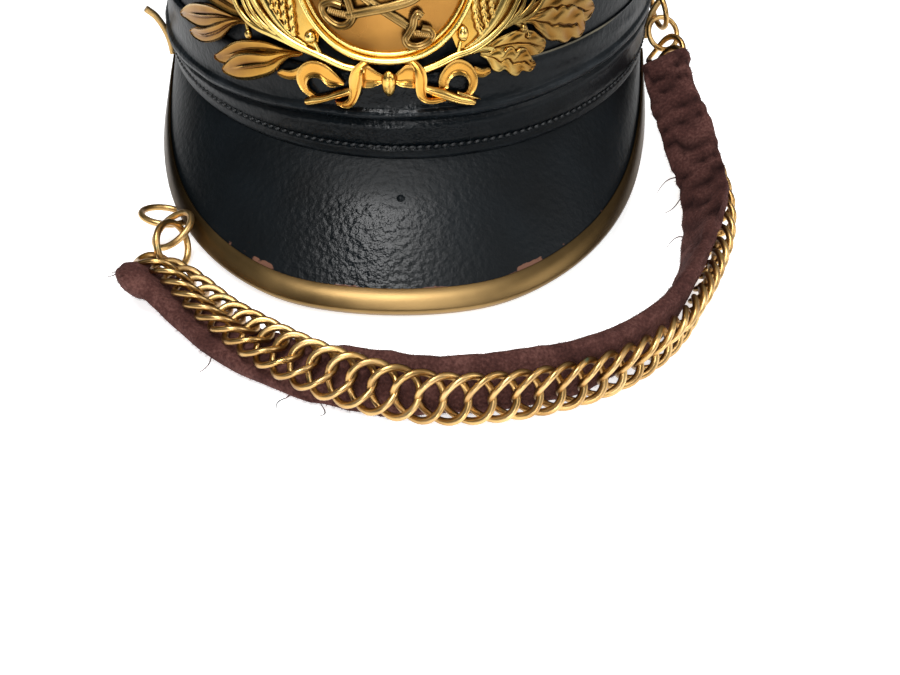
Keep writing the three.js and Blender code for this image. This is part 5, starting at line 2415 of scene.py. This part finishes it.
@dataclass(frozen=True)
class PhotoCamera:
    """The camera at the photograph's place, in helmet millimetres."""

    place: Spot = (19.77, -358.18, 178.32)
    pitch: float = 41.45
    yaw: float = -0.335
    roll: float = 0.86
    lens: float = 36.0
    sensor: float = 36.0
    nearest: float = 0.01

    def build(self) -> None:
        """Make the camera and set it as the scene's."""
        turned = Matrix.Rotation(math.radians(-self.yaw), 4, "Z")
        turned @= Matrix.Rotation(math.radians(90.0 - self.pitch), 4, "X")
        turned @= Matrix.Rotation(math.radians(self.roll), 4, "Z")
        camera = bpy.data.objects.new("camera", bpy.data.cameras.new("camera"))
        camera.data.lens = self.lens
        camera.data.sensor_width = self.sensor
        camera.data.clip_start = self.nearest
        camera.matrix_world = Matrix.Translation(to_part(Vector(self.place))) @ turned
        bpy.context.scene.collection.objects.link(camera)
        bpy.context.scene.camera = camera


class Lamp(NamedTuple):
    """A soft box: place and target in helmet millimetres, size in metres and power in watts."""

    name: str
    place: Spot
    target: Spot
    size: float
    power: float


LAMPS = [
    Lamp("top_box", (-95.0, -350.0, 900.0), (0.0, -80.0, 40.0), 0.34, 6.2),
    Lamp("front_box", (60.0, -800.0, 620.0), (0.0, -100.0, 60.0), 0.3, 1.6),
    Lamp("left_box", (-800.0, -300.0, 500.0), (0.0, -80.0, 40.0), 0.5, 0.4),
    Lamp("low_box", (-60.0, -900.0, 150.0), (0.0, -110.0, 45.0), 0.16, 1.2),
    Lamp("right_box", (750.0, -350.0, 450.0), (0.0, -80.0, 40.0), 0.4, 1.8),
]


@dataclass
class Studio:
    """A plain white floor with soft light from all round."""

    floor_size: float = 6.0
    floor_drop: float = 0.2
    floor_colour: str = "#fbfbfb"
    floor_glow: float = 0.7
    surround_strength: float = 0.53

    def build(self) -> None:
        """Build the floor, the lamps and the surrounding light."""
        self.floor()
        for row in LAMPS:
            self.lamp(row)
        self.surround()
        bpy.context.scene.view_settings.view_transform = "Standard"

    def floor(self) -> None:
        """Model the floor as one large sheet under the helmet."""
        pick()
        bpy.ops.mesh.primitive_plane_add(size=self.floor_size, location=(0.0, 0.0, -self.floor_drop * MM))
        floor = named("floor")
        # White card gives the eye a plain matt ground that stays white in the shade.
        material, _, shader, _ = new_material("white_card")
        white = colour(self.floor_colour)
        set_inputs(shader, {"Base Color": white, "Roughness": 0.9, "Specular IOR Level": 0.1})
        set_inputs(shader, {"Emission Color": white, "Emission Strength": self.floor_glow})
        floor.data.materials.append(material)

    @staticmethod
    def lamp(row: Lamp) -> None:
        """Make one soft box that faces its target.

        Args:
            row: the soft box.
        """
        data = bpy.data.lights.new(row.name, "AREA")
        data.shape = "SQUARE"
        data.size = row.size
        data.energy = row.power
        lamp = bpy.data.objects.new(row.name, data)
        place, target = to_part(Vector(row.place)), to_part(Vector(row.target))
        lamp.matrix_world = Matrix.LocRotScale(place, (target - place).to_track_quat("-Z", "Y"), None)
        bpy.context.scene.collection.objects.link(lamp)

    def surround(self) -> None:
        """Light the scene from all round, darker near the horizon and on the left, to show shape in gloss."""
        world = bpy.data.worlds.new("white_room")
        world.use_nodes = True
        add = partial(add_node, world.node_tree)
        background = next(node for node in world.node_tree.nodes if node.type == "BACKGROUND")
        height = add("SeparateXYZ", {"Vector": add("TexCoord", give="Generated")}, give="Z")
        aside = height.node.outputs["X"]
        sky = [(0.0, "#8a8a88"), (0.25, "#5e5d5b"), (0.55, "#e9e9ea"), (1.0, "#ffffff")]
        tones = add("ValToRGB", {"Fac": height}, stops=sky)
        sides = add("MapRange", {"Value": aside, "From Min": -0.6, "From Max": 0.3, "To Min": 0.12})
        shaded = add("MixRGB", {"Fac": 1.0, "Color1": tones, "Color2": sides}, blend_type="MULTIPLY")
        set_inputs(background, {"Color": shaded, "Strength": self.surround_strength})
        bpy.context.scene.world = world


def main() -> None:
    """Build the studio and every sub-assembly."""
    logging.basicConfig(level=logging.INFO, format="%(name)s %(message)s")
    leather = BlackLeather().material()
    brass = OLD_BRASS.material()
    PhotoCamera().build()
    Studio().build()
    Skull(leather, WaxedThread().material()).build()
    Peaks(leather, brass).build()
    WreathPlate(GILT.material(), BRONZE.material(), GREY_BRASS.material()).build()
    ChinStrap(Velvet().material(), CHAIN_BRASS.material(), brass).build()


if __name__ == "__main__":
    main()
